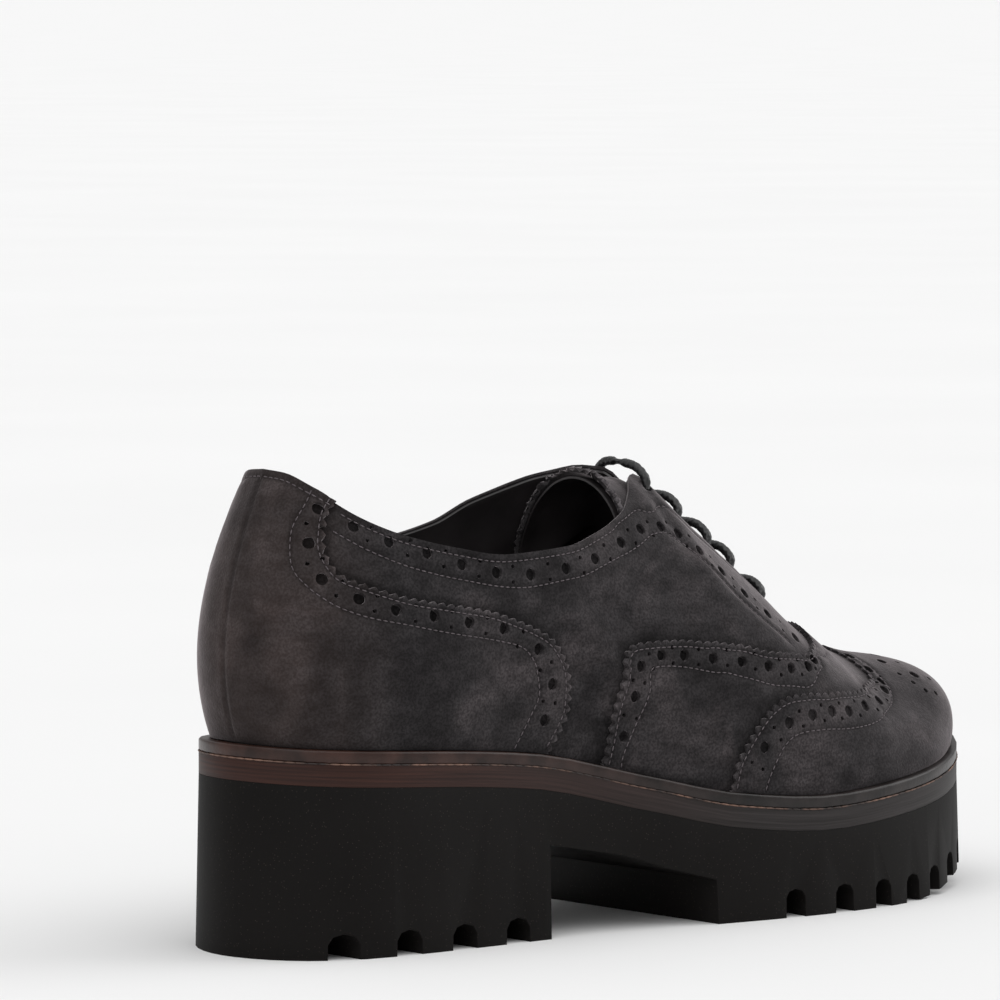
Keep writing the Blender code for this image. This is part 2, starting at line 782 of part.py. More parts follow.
# Upper
all_stations = np.linspace(0, 1, UPPER_STATIONS + 1)
all_rises = np.linspace(0, 1, UPPER_ROWS + 1)
upper = Sheet()
for side in (OUTER, INNER):
    stations, rises = np.meshgrid(all_stations, all_rises, indexing="ij")
    upper.patch(stations, rises, side)
add_part("upper", upper.solid(0.0, -WALL), SUEDE)


# Overlays
def edge_curve(rows):
    return smooth_curve([r.station for r in rows], [r.rise for r in rows])


def even_columns(rows, count):
    """Stations spaced evenly along an edge on the surface."""
    curve = edge_curve(rows)
    fine = np.linspace(rows[0].station, rows[-1].station, EDGE_SAMPLES)
    points = upper_point(fine, curve(fine), OUTER)
    lengths = np.concatenate([[0], np.cumsum(np.linalg.norm(np.diff(points, axis=0), axis=1))])
    return np.interp(np.linspace(0, lengths[-1], count), lengths, fine)


counter_top = edge_curve(COUNTER_TOP)
vamp_top = edge_curve(VAMP_TOP)
cap_top = edge_curve(CAP_TOP)
counter_end = smooth_curve([r.rise for r in COUNTER_END], [r.station for r in COUNTER_END])

# Heel counter: columns close up towards its curved front end
counter = Sheet()
end_station = float(COUNTER_TOP[-1].station)
even = even_columns(COUNTER_TOP, COUNTER_COLUMNS) / end_station
shares = (even + np.linspace(0, 1, COUNTER_COLUMNS)) / 2
levels = np.linspace(0, 1, PANEL_LEVELS)
top_here = counter_top(shares * end_station)
for side in (OUTER, INNER):
    rises = shares[:, None] * 0 + levels[None, :] * top_here[:, None]
    stretch = counter_end(np.clip(rises, 0, COUNTER_END[-1].rise)) / end_station
    stations = shares[:, None] * end_station * (1 + (stretch - 1) * shares[:, None] ** 2)
    counter.patch(stations, rises, side)
add_part("heel_counter", counter.solid(OVERLAY_LIFT + OVERLAY_SKIN, OVERLAY_LIFT, 2 * GAP), SUEDE)

# Vamp: between its own back edge and the toe cap's edge
vamp = Sheet()
first = VAMP_TOP[0].station
last = VAMP_TOP[-1].station
cap_last = CAP_TOP[-1].station
back = even_columns(VAMP_TOP, VAMP_BACK_COLUMNS)
front = np.linspace(last, cap_last - 3 * SEAM_STATION, VAMP_FRONT_COLUMNS)[1:]


def under_cap(station):
    """Lower limit of the vamp, just clear of the toe cap's edge."""
    ahead = np.asarray(station) + SEAM_STATION
    return np.where(ahead < CAP_TOP[0].station, 0.0, cap_top(ahead) + SEAM_RISE)


for side in (OUTER, INNER):
    columns = np.concatenate([back, front])
    floor = np.minimum(under_cap(columns), 0.97)
    ceiling = np.where(columns < last, vamp_top(np.minimum(columns, last)), 1.0)
    floor = np.minimum(floor, ceiling)
    rises = floor[:, None] + levels[None, :] * (ceiling - floor)[:, None]
    stations = columns[:, None] + 0 * rises
    vamp.patch(stations, rises, side)
add_part("vamp", vamp.solid(OVERLAY_LIFT + OVERLAY_SKIN, OVERLAY_LIFT, 2 * GAP), SUEDE)

# Toe cap: the whole toe in front of its winged edge
cap = Sheet()
wing = even_columns(CAP_TOP, CAP_WING_COLUMNS)
tip = np.linspace(cap_last, 1, CAP_TIP_COLUMNS)[1:]
levels = np.linspace(0, 1, CAP_LEVELS)
columns = np.concatenate([wing, tip])
for side in (OUTER, INNER):
    ceiling = np.where(columns < cap_last, cap_top(np.minimum(columns, cap_last)), 1.0)
    rises = levels[None, :] * ceiling[:, None]
    stations = columns[:, None] + 0 * rises
    cap.patch(stations, rises, side)
add_part("toe_cap", cap.solid(OVERLAY_LIFT + CAP_SKIN, OVERLAY_LIFT, 3 * GAP), SUEDE)


# Tongue: arches under the facings, then three free arches behind them
def tongue_arch(station, depth, count):
    half = []
    for side in (OUTER, INNER):
        rises = np.linspace(TONGUE_RISE, 1, count)
        stations = np.full(count, station)
        half.append(upper_point(stations, rises, side) - upper_normal(stations, rises, side) * depth)
    return np.vstack([half[0], half[1][::-1]])


outer_depth = WALL + TONGUE_CLEAR
layers = []
for depth in (outer_depth, outer_depth + TONGUE_THICK):
    arches = [tongue_arch(s, depth, ARCH_POINTS) for s in np.linspace(TONGUE_FOOT, TONGUE_HEAD, TONGUE_ROWS)]
    head = arches[-1]
    crown = head[:, 2].max()
    for push in TONGUE_TOP:
        arch = head.copy()
        arch[:, 0] = arch[:, 0] - push.back
        arch[:, 1] = arch[:, 1] * push.narrow
        fall = (crown - head[:, 2]) / (crown - head[:, 2].min())
        arch[:, 2] = arch[:, 2] + push.up - push.droop * fall
        arches.append(arch)
    layers.append(np.array(arches))


def two_sided(outer_layer, inner_layer):
    n, m = outer_layer.shape[:2]
    verts = list(outer_layer.reshape(-1, 3)) + list(inner_layer.reshape(-1, 3))
    count = n * m
    faces = []
    for i in range(n - 1):
        for j in range(m - 1):
            face = [i * m + j, (i + 1) * m + j, (i + 1) * m + j + 1, i * m + j + 1]
            faces.append(face)
            faces.append([k + count for k in reversed(face)])
    rim = [j for j in range(m)] + [i * m + m - 1 for i in range(1, n)]
    rim += [(n - 1) * m + j for j in range(m - 2, -1, -1)] + [i * m for i in range(n - 2, 0, -1)]
    for a, b in zip(rim, rim[1:] + rim[:1]):
        faces.append([a, b, b + count, a + count])
    return verts, faces


add_part("tongue", two_sided(layers[0], layers[1]), LEATHER)

# Lace bars: each arches over the slot from one facing to the other
for number, eyelet in enumerate(EYELETS, 1):
    steps = np.linspace(eyelet.rise, 1, LACE_STEPS)
    path = []
    for side in (OUTER, INNER):
        stations = np.full(len(steps), eyelet.station)
        lift = np.full(len(steps), LACE_THICK / 2 + LACE_CLEAR)
        lift[0] -= LACE_SEAT
        lift = lift[:, None]
        half = upper_point(stations, steps, side) + upper_normal(stations, steps, side) * lift
        path.extend(half if side == OUTER else half[::-1])
    path = np.array(path)
    across = (path[:, 1] - path[0, 1]) / (path[-1, 1] - path[0, 1])
    path[:, 2] = path[:, 2] + LACE_ARCH * np.sin(math.pi * across) ** LACE_ROUND
    add_part("lace_bar_%d" % number, tube(path, LACE_THICK / 2, LACE_SIDES), CORD)

# Stand the shoe on its sole with the middle of its box over the origin
low = np.full(3, np.inf)
high = np.full(3, -np.inf)
for item in parts.objects:
    coords = np.array([v.co for v in item.data.vertices])
    low = np.minimum(low, coords.min(axis=0))
    high = np.maximum(high, coords.max(axis=0))
middle = (low + high) / 2
for item in list(parts.objects) + list(cutters.objects):
    for vertex in item.data.vertices:
        vertex.co.x -= middle[0]
        vertex.co.y -= middle[1]
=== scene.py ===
# Dark suede brogue on a lugged platform sole: the looks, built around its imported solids.
# Metres. +X runs to the toe, +Y to the inner side of the foot, +Z up.
import math
from collections import namedtuple

import bpy
import numpy as np
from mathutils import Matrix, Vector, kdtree
from mathutils.geometry import delaunay_2d_cdt


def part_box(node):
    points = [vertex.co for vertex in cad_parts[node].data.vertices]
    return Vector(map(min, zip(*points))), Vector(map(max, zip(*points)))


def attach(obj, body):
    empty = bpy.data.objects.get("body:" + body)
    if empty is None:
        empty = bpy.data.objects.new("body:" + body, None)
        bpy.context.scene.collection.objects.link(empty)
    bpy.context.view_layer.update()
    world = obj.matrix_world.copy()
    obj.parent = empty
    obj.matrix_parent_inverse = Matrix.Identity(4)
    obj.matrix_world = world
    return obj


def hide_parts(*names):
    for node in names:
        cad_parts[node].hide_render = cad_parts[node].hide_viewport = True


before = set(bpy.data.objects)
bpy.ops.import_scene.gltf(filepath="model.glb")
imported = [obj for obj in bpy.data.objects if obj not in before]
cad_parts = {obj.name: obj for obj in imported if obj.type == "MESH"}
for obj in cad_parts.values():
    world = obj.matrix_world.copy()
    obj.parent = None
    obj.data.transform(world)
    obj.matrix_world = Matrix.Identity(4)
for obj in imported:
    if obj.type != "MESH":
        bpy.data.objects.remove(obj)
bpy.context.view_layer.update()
bpy.ops.object.select_all(action="DESELECT")

OUTER = -1
INNER = 1

# Camera: the photograph looks at the outer side from behind
CAMERA_TURN = math.radians(41)
CAMERA_DOWN = math.radians(4.28)
CAMERA_PLACE = (-1.2672, -1.4150, 0.2577)
CAMERA_LENS = 245.5

# Driving sizes of the last and the bottom, as in the solids
SOLE_LENGTH = 0.270
BALL_WIDTH = 0.092
HEEL_WIDTH = 0.065
BACK_HEIGHT = 0.1297
HEEL_RAISE = 0.0569
GAP = 0.0003
WELT_THICK = 0.0033
LAYERS_DEEP = 0.014
HEEL_HALF = HEEL_WIDTH / 2
BALL_HALF = BALL_WIDTH / 2

# Leather thicknesses and how far each panel's face stands off the last
SUEDE_THICK = 0.0010
LINING_THICK = 0.0009
LINING_TOP = 0.994
OVERLAY_THICK = 0.0014
COUNTER_FACE = 0.0015
VAMP_FACE = 0.0015
CAP_FACE = 0.0023
CAP_THICK = 0.0007
PANEL_SINK = 0.0001
HOLE_LIP = 0.00014
CUT_ROUNDING = 0.00022
CUT_ANGLE = 55
MERGE = 0.00001

# Where the suede leaves the last: slimmer at the heel, the collar lower at the back and higher
# on the inner side
HEEL_SLIM = 0.0021
HEEL_SLIM_REACH = 0.16
COLLAR_DIP = 0.0012
COLLAR_DIP_AT = 0.21
INNER_RAISE = 0.0014
INNER_RAISE_AT = 0.485
COLLAR_SPREAD = 0.05

# Tongue and lace
TONGUE_DEPTH = 0.0033
TONGUE_SUEDE = 0.0010
TONGUE_LINING = 0.0006
TONGUE_FOOT = 0.700
TONGUE_HEAD = 0.560
TONGUE_RISE = 0.70
TONGUE_END = -0.0095
TONGUE_SIDE_POINTS = 36
TONGUE_BRIDGE_POINTS = 10
TONGUE_RIM = (
    (-0.0215, 0.0960), (-0.0205, 0.1040), (-0.0168, 0.1128), (-0.0122, 0.1181), (-0.0072, 0.1211),
    (-0.0018, 0.1225), (0.0041, 0.1221), (0.0104, 0.1194), (0.0167, 0.1137), (0.0210, 0.1064),
    (0.0231, 0.1004), (0.0238, 0.0930),
)
LACE_THICK = 0.0026
LACE_ARCH = 0.0012
LACE_CLEAR = 0.0002
LACE_UNDER = 0.0027
LACE_IN_EYELET = 0.0014
LACE_STEP = 0.0003
LACE_SIDES = 20
BRAID_PITCH = 0.0021
LACE_ORDER = (1, 3, 4, 2, 0)
EYELET_HOLE = 0.0034

# Brogueing: pinked edges, stitch rows and punched holes
PINK_PITCH = 0.00305
PINK_DEPTH = 0.0014
TOOTH_POINTS = 6
TOOTH_ROUND = 1.1
STITCH_PITCH = 0.0020
TOE_STITCH_FROM = 0.095
STITCH_LONG = 0.0015
STITCH_WIDE = 0.00038
CHANNEL_DEPTH = 0.00028
CHANNEL_WIDE = 0.0007
CHANNEL_BANK = 0.0016
MARK_STEP = 0.0004
EDGE_STITCH = 0.0020
COLLAR_STITCH = 0.0020
COUNTER_TOP_END = 0.168
BIG_HOLE = 0.0034
SMALL_HOLE = 0.0013
PAIR_APART = 0.0043

# Plan of the sole: along as a share of the length, out as shares of heel and ball half widths
Plan = namedtuple("Plan", "along heel ball")
OUTER_PLAN = (
    Plan(0.015, 0.47, 0.00),
    Plan(0.052, 0.80, 0.00),
    Plan(0.111, 0.97, 0.00),
    Plan(0.222, 1.03, 0.00),
    Plan(0.352, 1.06, 0.00),
    Plan(0.481, 0.583, 0.455),
    Plan(0.593, 0.159, 0.859),
    Plan(0.678, 0.00, 1.011),
    Plan(0.770, 0.00, 0.976),
    Plan(0.859, 0.00, 0.809),
    Plan(0.933, 0.00, 0.516),
    Plan(0.981, 0.00, 0.137),
)
INNER_PLAN = (
    Plan(0.985, 0.00, 0.500),
    Plan(0.941, 0.00, 0.767),
    Plan(0.870, 0.00, 0.920),
    Plan(0.778, 0.00, 0.989),
    Plan(0.685, 0.00, 0.959),
    Plan(0.574, 0.00, 0.811),
    Plan(0.463, 0.00, 0.692),
    Plan(0.352, 0.00, 0.653),
    Plan(0.222, 0.98, 0.00),
    Plan(0.111, 0.97, 0.00),
    Plan(0.052, 0.80, 0.00),
    Plan(0.015, 0.47, 0.00),
)
TOE_SET_IN = 0.174

# Side line of the welt's top: height as a share of the heel raise
Line = namedtuple("Line", "along height")
WELT_LINE = (
    Line(0.000, 1.000),
    Line(0.296, 0.898),
    Line(0.444, 0.740),
    Line(0.556, 0.624),
    Line(0.667, 0.580),
    Line(0.778, 0.612),
    Line(0.889, 0.668),
    Line(1.000, 0.773),
)

# How far the upper's foot stands in from the sole's edge
Reach = namedtuple("Reach", "along inset")
WELT_REACH = (
    Reach(0.00, 0.0032),
    Reach(0.15, 0.0032),
    Reach(0.44, 0.0042),
    Reach(0.74, 0.0050),
    Reach(1.00, 0.0041),
)

# Sections of the upper from heel to toe, in shares of the sole length, ball width, back
# height and each section's own rise
Section = namedtuple("Section", "foot top_x top_half top_z low_out low_up high_out high_up lift")
SECTIONS = (
    Section(0.000, 0.052, 0.000, 1.000, 0.098, 0.36, 0.114, 0.700, 0.000),
    Section(0.015, 0.056, 0.076, 0.995, 0.098, 0.36, 0.114, 0.700, 0.000),
    Section(0.044, 0.068, 0.145, 0.971, 0.087, 0.36, 0.098, 0.700, 0.000),
    Section(0.104, 0.101, 0.220, 0.924, 0.071, 0.36, 0.076, 0.700, 0.000),
    Section(0.163, 0.158, 0.283, 0.865, 0.054, 0.36, 0.054, 0.700, 0.000),
    Section(0.222, 0.214, 0.310, 0.833, 0.043, 0.36, 0.043, 0.700, 0.000),
    Section(0.296, 0.276, 0.326, 0.813, 0.038, 0.36, 0.043, 0.700, 0.002),
    Section(0.385, 0.360, 0.315, 0.821, 0.033, 0.38, 0.060, 0.720, 0.023),
    Section(0.452, 0.407, 0.283, 0.842, 0.027, 0.40, 0.082, 0.770, 0.042),
    Section(0.511, 0.460, 0.228, 0.880, 0.022, 0.42, 0.109, 0.840, 0.046),
    Section(0.544, 0.487, 0.168, 0.913, 0.022, 0.44, 0.130, 0.880, 0.035),
    Section(0.567, 0.506, 0.109, 0.941, 0.022, 0.46, 0.147, 0.910, 0.019),
    Section(0.585, 0.524, 0.065, 0.948, 0.022, 0.48, 0.152, 0.920, 0.008),
    Section(0.622, 0.574, 0.059, 0.874, 0.016, 0.50, 0.158, 0.925, 0.000),
    Section(0.667, 0.622, 0.052, 0.802, 0.016, 0.50, 0.152, 0.910, 0.000),
    Section(0.704, 0.663, 0.046, 0.739, 0.016, 0.50, 0.141, 0.900, 0.000),
    Section(0.737, 0.702, 0.039, 0.672, 0.016, 0.49, 0.130, 0.900, 0.000),
    Section(0.767, 0.737, 0.030, 0.614, 0.016, 0.48, 0.120, 0.930, 0.000),
    Section(0.793, 0.769, 0.000, 0.566, 0.016, 0.48, 0.109, 1.000, 0.000),
    Section(0.822, 0.807, 0.000, 0.523, 0.016, 0.50, 0.141, 1.000, 0.000),
    Section(0.859, 0.852, 0.000, 0.500, 0.020, 0.54, 0.185, 1.000, 0.000),
    Section(0.900, 0.896, 0.000, 0.486, 0.033, 0.58, 0.223, 1.000, 0.000),
    Section(0.937, 0.936, 0.000, 0.466, 0.039, 0.60, 0.185, 1.000, 0.000),
    Section(0.963, 0.963, 0.000, 0.426, 0.030, 0.60, 0.120, 1.000, 0.000),
)
SLOT_END = 0.780
RIDGE_START = 0.72
RIDGE_BEND = 1.6
HANDLE_TURN = 0.22
ANGLE_STEP = 0.001
GRID_STEP = 0.003

# Lines drawn on the upper: station is the share of the way round from heel to toe, rise the
# share of the way up the section
COUNTER_EDGE = (
    (0.1780, 1.000), (0.1725, 0.980), (0.1575, 0.905), (0.1500, 0.785), (0.1575, 0.725),
    (0.1725, 0.687), (0.2000, 0.680), (0.2425, 0.685), (0.2825, 0.695), (0.3175, 0.695),
    (0.3425, 0.687), (0.3625, 0.655), (0.3800, 0.610), (0.3950, 0.550), (0.4035, 0.475),
    (0.4075, 0.400), (0.4075, 0.315), (0.4050, 0.210), (0.4000, 0.140), (0.3875, 0.000),
)
COUNTER_STITCH = (
    (0.1250, 0.995), (0.1150, 0.945), (0.0850, 0.820), (0.0850, 0.725), (0.0950, 0.655),
    (0.1175, 0.605), (0.1450, 0.565), (0.1750, 0.540), (0.2100, 0.535), (0.2525, 0.550),
    (0.3100, 0.545), (0.3450, 0.535), (0.3650, 0.510), (0.3750, 0.440), (0.3775, 0.355),
    (0.3775, 0.265), (0.3700, 0.170), (0.3560, 0.010),
)
COUNTER_HOLES = (
    (0.1400, 0.930), (0.1200, 0.775), (0.1400, 0.645), (0.1900, 0.605), (0.2325, 0.605),
    (0.2725, 0.620), (0.3100, 0.615), (0.3475, 0.605), (0.3800, 0.500), (0.3900, 0.330),
    (0.3825, 0.155),
)
VAMP_EDGE = (
    (0.433, 0.000), (0.443, 0.220), (0.455, 0.365), (0.461, 0.450), (0.476, 0.482),
    (0.512, 0.440), (0.537, 0.385), (0.560, 0.350), (0.587, 0.375), (0.622, 0.430),
    (0.650, 0.505), (0.680, 0.700), (0.705, 1.000),
)
VAMP_HOLES = (
    (0.4500, 0.130), (0.4625, 0.285), (0.4725, 0.395), (0.4925, 0.415), (0.5120, 0.390),
    (0.5360, 0.340), (0.5600, 0.305), (0.5840, 0.325), (0.6090, 0.355), (0.6325, 0.400),
    (0.6480, 0.465),
)
VAMP_STITCH = (
    (0.4480, 0.005), (0.4500, 0.065), (0.4600, 0.175), (0.4750, 0.290), (0.4800, 0.365),
    (0.4875, 0.380), (0.5100, 0.355), (0.5400, 0.295), (0.5675, 0.265), (0.6050, 0.295),
    (0.6250, 0.320), (0.6450, 0.405), (0.6550, 0.455), (0.6600, 0.520), (0.6760, 0.560),
    (0.6900, 0.620),
)
CAP_EDGE = (
    (0.535, 0.000), (0.540, 0.065), (0.548, 0.105), (0.560, 0.150), (0.590, 0.245),
    (0.618, 0.290), (0.653, 0.350), (0.703, 0.455), (0.733, 0.570), (0.743, 0.645),
    (0.746, 0.735), (0.745, 0.870), (0.740, 1.000),
)
CAP_STITCH = (
    (0.5640, 0.005), (0.5700, 0.050), (0.5825, 0.115), (0.5975, 0.155), (0.6225, 0.180),
    (0.6575, 0.210), (0.7000, 0.285), (0.7350, 0.400), (0.7550, 0.525), (0.7600, 0.620),
    (0.7640, 0.740), (0.7640, 0.860), (0.7600, 1.000),
)
CAP_HOLES = (
    (0.5500, 0.020), (0.5650, 0.105), (0.5900, 0.180), (0.6150, 0.220), (0.6375, 0.250),
    (0.6600, 0.280), (0.6900, 0.340), (0.7200, 0.420), (0.7450, 0.520), (0.7540, 0.600),
    (0.7545, 0.710), (0.7550, 0.860),
)
COLLAR_HOLES = (
    (0.2000, 0.935), (0.2375, 0.938), (0.2750, 0.938), (0.3100, 0.915), (0.3475, 0.900),
    (0.3825, 0.882), (0.4175, 0.888), (0.4575, 0.885), (0.4925, 0.880), (0.5180, 0.845),
    (0.5400, 0.745), (0.5550, 0.675), (0.5660, 0.628), (0.5800, 0.612), (0.5960, 0.580),
    (0.6150, 0.555), (0.6400, 0.530),
)
FACING_STITCH = (
    (0.4980, 0.966), (0.5080, 0.955), (0.5180, 0.935), (0.5275, 0.900), (0.5350, 0.845),
    (0.5430, 0.798), (0.5600, 0.785), (0.5850, 0.780), (0.6100, 0.775), (0.6350, 0.775),
    (0.6600, 0.785), (0.6850, 0.805),
)
LOWER_COLLAR_ROW = (
    (0.163, 0.862), (0.200, 0.850), (0.275, 0.835), (0.350, 0.825), (0.380, 0.817),
    (0.422, 0.833), (0.475, 0.833), (0.498, 0.815), (0.520, 0.790), (0.533, 0.755),
    (0.552, 0.655), (0.563, 0.590), (0.573, 0.555), (0.588, 0.515), (0.612, 0.485),
    (0.625, 0.470),
)
Eyelet = namedtuple("Eyelet", "station rise")
EYELETS = (
    Eyelet(0.558, 0.890),
    Eyelet(0.580, 0.885),
    Eyelet(0.607, 0.880),
    Eyelet(0.630, 0.880),
    Eyelet(0.660, 0.880),
)

# Punched flower on the toe: station, rise and size of each hole
MEDALLION = (
    (0.7775, 0.610, 0.0016),
    (0.8000, 0.600, 0.0030),
    (0.7850, 0.530, 0.0016),
    (0.7950, 0.460, 0.0016),
    (0.8120, 0.430, 0.0016),
    (0.8260, 0.560, 0.0016),
    (0.7800, 0.760, 0.0030),
    (0.8050, 0.760, 0.0016),
    (0.8000, 0.900, 0.0030),
)


# Curves
def smooth_curve(xs, ys):
    """Monotone cubic through the rows of a table."""
    xs = np.asarray(xs, float)
    ys = np.asarray(ys, float)
    step = np.diff(xs)
    rate = np.diff(ys) / step
    slope = np.zeros(len(xs))
    slope[0] = rate[0]
    slope[-1] = rate[-1]
    for i in range(1, len(xs) - 1):
        if rate[i - 1] * rate[i] > 0:
            ahead = 2 * step[i] + step[i - 1]
            behind = step[i] + 2 * step[i - 1]
            slope[i] = (ahead + behind) / (ahead / rate[i - 1] + behind / rate[i])

    def value(x):
        x = np.asarray(x, float)
        i = np.clip(np.searchsorted(xs, x) - 1, 0, len(xs) - 2)
        t = np.clip((x - xs[i]) / step[i], 0, 1)
        a = (2 * t ** 3 - 3 * t ** 2 + 1) * ys[i]
        b = (t ** 3 - 2 * t ** 2 + t) * step[i] * slope[i]
        c = (-2 * t ** 3 + 3 * t ** 2) * ys[i + 1]
        d = (t ** 3 - t ** 2) * step[i] * slope[i + 1]
        return a + b + c + d

    return value


def rounded(points, per_span, closed=False):
    """Smooth line through the points, which it passes."""
    points = np.asarray(points, float)
    count = len(points)
    if not closed:
        points = np.vstack([2 * points[0] - points[1], points, 2 * points[-1] - points[-2]])
    line = []
    for i in range(count if closed else count - 1):
        if closed:
            p0, p1, p2, p3 = (points[(i + k) % count] for k in (-1, 0, 1, 2))
        else:
            p0, p1, p2, p3 = points[i:i + 4]
        for t in np.linspace(0, 1, per_span, endpoint=False):
            cubic = -p0 + 3 * p1 - 3 * p2 + p3
            square = 2 * p0 - 5 * p1 + 4 * p2 - p3
            line.append(0.5 * (2 * p1 + (p2 - p0) * t + square * t ** 2 + cubic * t ** 3))
    if not closed:
        line.append(points[-2])
    return np.array(line)


def running_length(points):
    """Distance of each point from the first, along the line."""
    return np.concatenate([[0], np.cumsum(np.linalg.norm(np.diff(points, axis=0), axis=1))])


def at_lengths(stops, lengths, points):
    """The line's points at given distances along it."""
    return np.column_stack([np.interp(stops, lengths, column) for column in points.T])


def fade(apart, reach):
    """One at no distance, falling smoothly to nothing past the reach."""
    return np.exp(-(apart / reach) ** 2)


def plan_loop():
    points = [(0.0, 0.0)]
    for row in OUTER_PLAN:
        points.append((row.along * SOLE_LENGTH, -(row.heel * HEEL_HALF + row.ball * BALL_HALF)))
    points.append((SOLE_LENGTH, TOE_SET_IN * BALL_HALF))
    for row in INNER_PLAN:
        points.append((row.along * SOLE_LENGTH, row.heel * HEEL_HALF + row.ball * BALL_HALF))
    return rounded(points, 30, closed=True)


def move_in(loop, inset):
    """The loop moved inwards by an inset that may change along the shoe."""
    ahead = np.roll(loop, -1, 0) - np.roll(loop, 1, 0)
    ahead = ahead / np.linalg.norm(ahead, axis=1)[:, None]
    inward = np.column_stack([-ahead[:, 1], ahead[:, 0]])
    return loop + inward * np.broadcast_to(inset, len(loop))[:, None]


class Outline:
    """A closed plan read from heel to toe: half widths at any x, both sides."""

    def __init__(self, loop):
        loop = np.roll(loop, -int(loop[:, 0].argmin()), 0)
        toe = int(loop[:, 0].argmax())
        self.outer = loop[:toe + 1]
        self.inner = np.vstack([loop[toe:], loop[:1]])[::-1]
        self.heel = self.outer[0]
        self.toe = self.outer[-1]

    def x(self, angle):
        return self.heel[0] + (self.toe[0] - self.heel[0]) * (1 - np.cos(angle)) / 2

    def y(self, side, x):
        half = self.outer if side == OUTER else self.inner
        return np.interp(x, half[:, 0], half[:, 1])

    def angle(self, x):
        share = (np.asarray(x, float) - self.heel[0]) / (self.toe[0] - self.heel[0])
        return np.arccos(np.clip(1 - 2 * share, -1, 1))


SOLE_PLAN = plan_loop()
welt_top = smooth_curve(
    [row.along * SOLE_LENGTH for row in WELT_LINE],
    [row.height * HEEL_RAISE for row in WELT_LINE],
)
REACH = np.interp(
    SOLE_PLAN[:, 0],
    [row.along * SOLE_LENGTH for row in WELT_REACH],
    [row.inset for row in WELT_REACH],
)
FOOT_LINE = Outline(move_in(SOLE_PLAN, REACH))
FOOT_ANGLES = [float(FOOT_LINE.angle(s.foot * SOLE_LENGTH)) for s in SECTIONS]
FOOT_ANGLES[0] = 0.0
TOE_X = float(FOOT_LINE.toe[0])
SLOT_ANGLE = float(FOOT_LINE.angle(SLOT_END * SOLE_LENGTH))
SLOT_STATION = SLOT_ANGLE / math.pi

# Where the solids' midsole puts the sole's plan in the shared frame
PLAN_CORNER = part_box("midsole")[0]
SHIFT = np.array([PLAN_CORNER.x - SOLE_PLAN[:, 0].min(), PLAN_CORNER.y - SOLE_PLAN[:, 1].min(), 0.0])


# The upper's own function
def section_curve(values, at_toe):
    return smooth_curve(FOOT_ANGLES + [math.pi], list(values) + [at_toe])


top_x = section_curve((s.top_x * SOLE_LENGTH for s in SECTIONS), TOE_X)
top_half = section_curve((s.top_half * BALL_WIDTH for s in SECTIONS), 0.0)
top_z = section_curve((s.top_z * BACK_HEIGHT for s in SECTIONS), float(welt_top(TOE_X)) + GAP)
low_out = section_curve((s.low_out * BALL_WIDTH for s in SECTIONS), 0.0)
low_up = section_curve((s.low_up for s in SECTIONS), 0.56)
high_out = section_curve((s.high_out * BALL_WIDTH for s in SECTIONS), 0.0)
high_up = section_curve((s.high_up for s in SECTIONS), 1.0)
inner_lift = section_curve((s.lift * BACK_HEIGHT for s in SECTIONS), 0.0)


def centre_line(x):
    """The ridge swings to the inner side as it nears the toe."""
    start = RIDGE_START * SOLE_LENGTH
    share = np.clip((x - start) / (TOE_X - start), 0, 1)
    return FOOT_LINE.toe[1] * share ** RIDGE_BEND


def upper_point(station, rise, side):
    """Point of the upper's outside: station 0 heel to 1 toe, rise 0 foot to 1 top."""
    angle = np.clip(np.asarray(station, float), 0, 1) * math.pi
    rise = np.clip(np.asarray(rise, float), 0, 1)
    angle, rise = np.broadcast_arrays(angle, rise)
    x = FOOT_LINE.x(angle)
    y = FOOT_LINE.y(side, x)
    foot = welt_top(x) + GAP
    ahead = FOOT_LINE.x(np.clip(angle + ANGLE_STEP, 0, math.pi))
    behind = FOOT_LINE.x(np.clip(angle - ANGLE_STEP, 0, math.pi))
    run_x = ahead - behind
    run_y = FOOT_LINE.y(side, ahead) - FOOT_LINE.y(side, behind)
    size = np.hypot(run_x, run_y) + 1e-12
    out_x = -run_y / size
    out_y = run_x / size
    turn = np.where(out_y * side >= 0, 1, -1)
    out_x = np.where(angle < 1e-6, -1.0, out_x * turn)
    out_y = np.where(angle < 1e-6, 0.0, out_y * turn)
    square = np.clip(x / SOLE_LENGTH / HANDLE_TURN - 1, 0, 1)
    side_x = out_x * (1 - square)
    side_y = out_y * (1 - square) + side * square
    size = np.hypot(side_x, side_y)
    side_x = side_x / size
    side_y = side_y / size
    tx = top_x(angle)
    half = np.where(angle >= SLOT_ANGLE, 0.0, top_half(angle))
    ty = side * half + centre_line(tx)
    tz = top_z(angle) + (inner_lift(angle) if side == INNER else 0.0)
    climb = tz - foot
    a = np.stack([x, y, foot], -1)
    low = low_out(angle)
    high = high_out(angle)
    b = np.stack([x + out_x * low, y + out_y * low, foot + low_up(angle) * climb], -1)
    c = np.stack([tx + side_x * high, ty + side_y * high, foot + high_up(angle) * climb], -1)
    d = np.stack([tx, ty, tz], -1)
    t = rise[..., None]
    bend = (1 - t) ** 3 * a + 3 * (1 - t) ** 2 * t * b + 3 * (1 - t) * t ** 2 * c + t ** 3 * d
    return bend + SHIFT


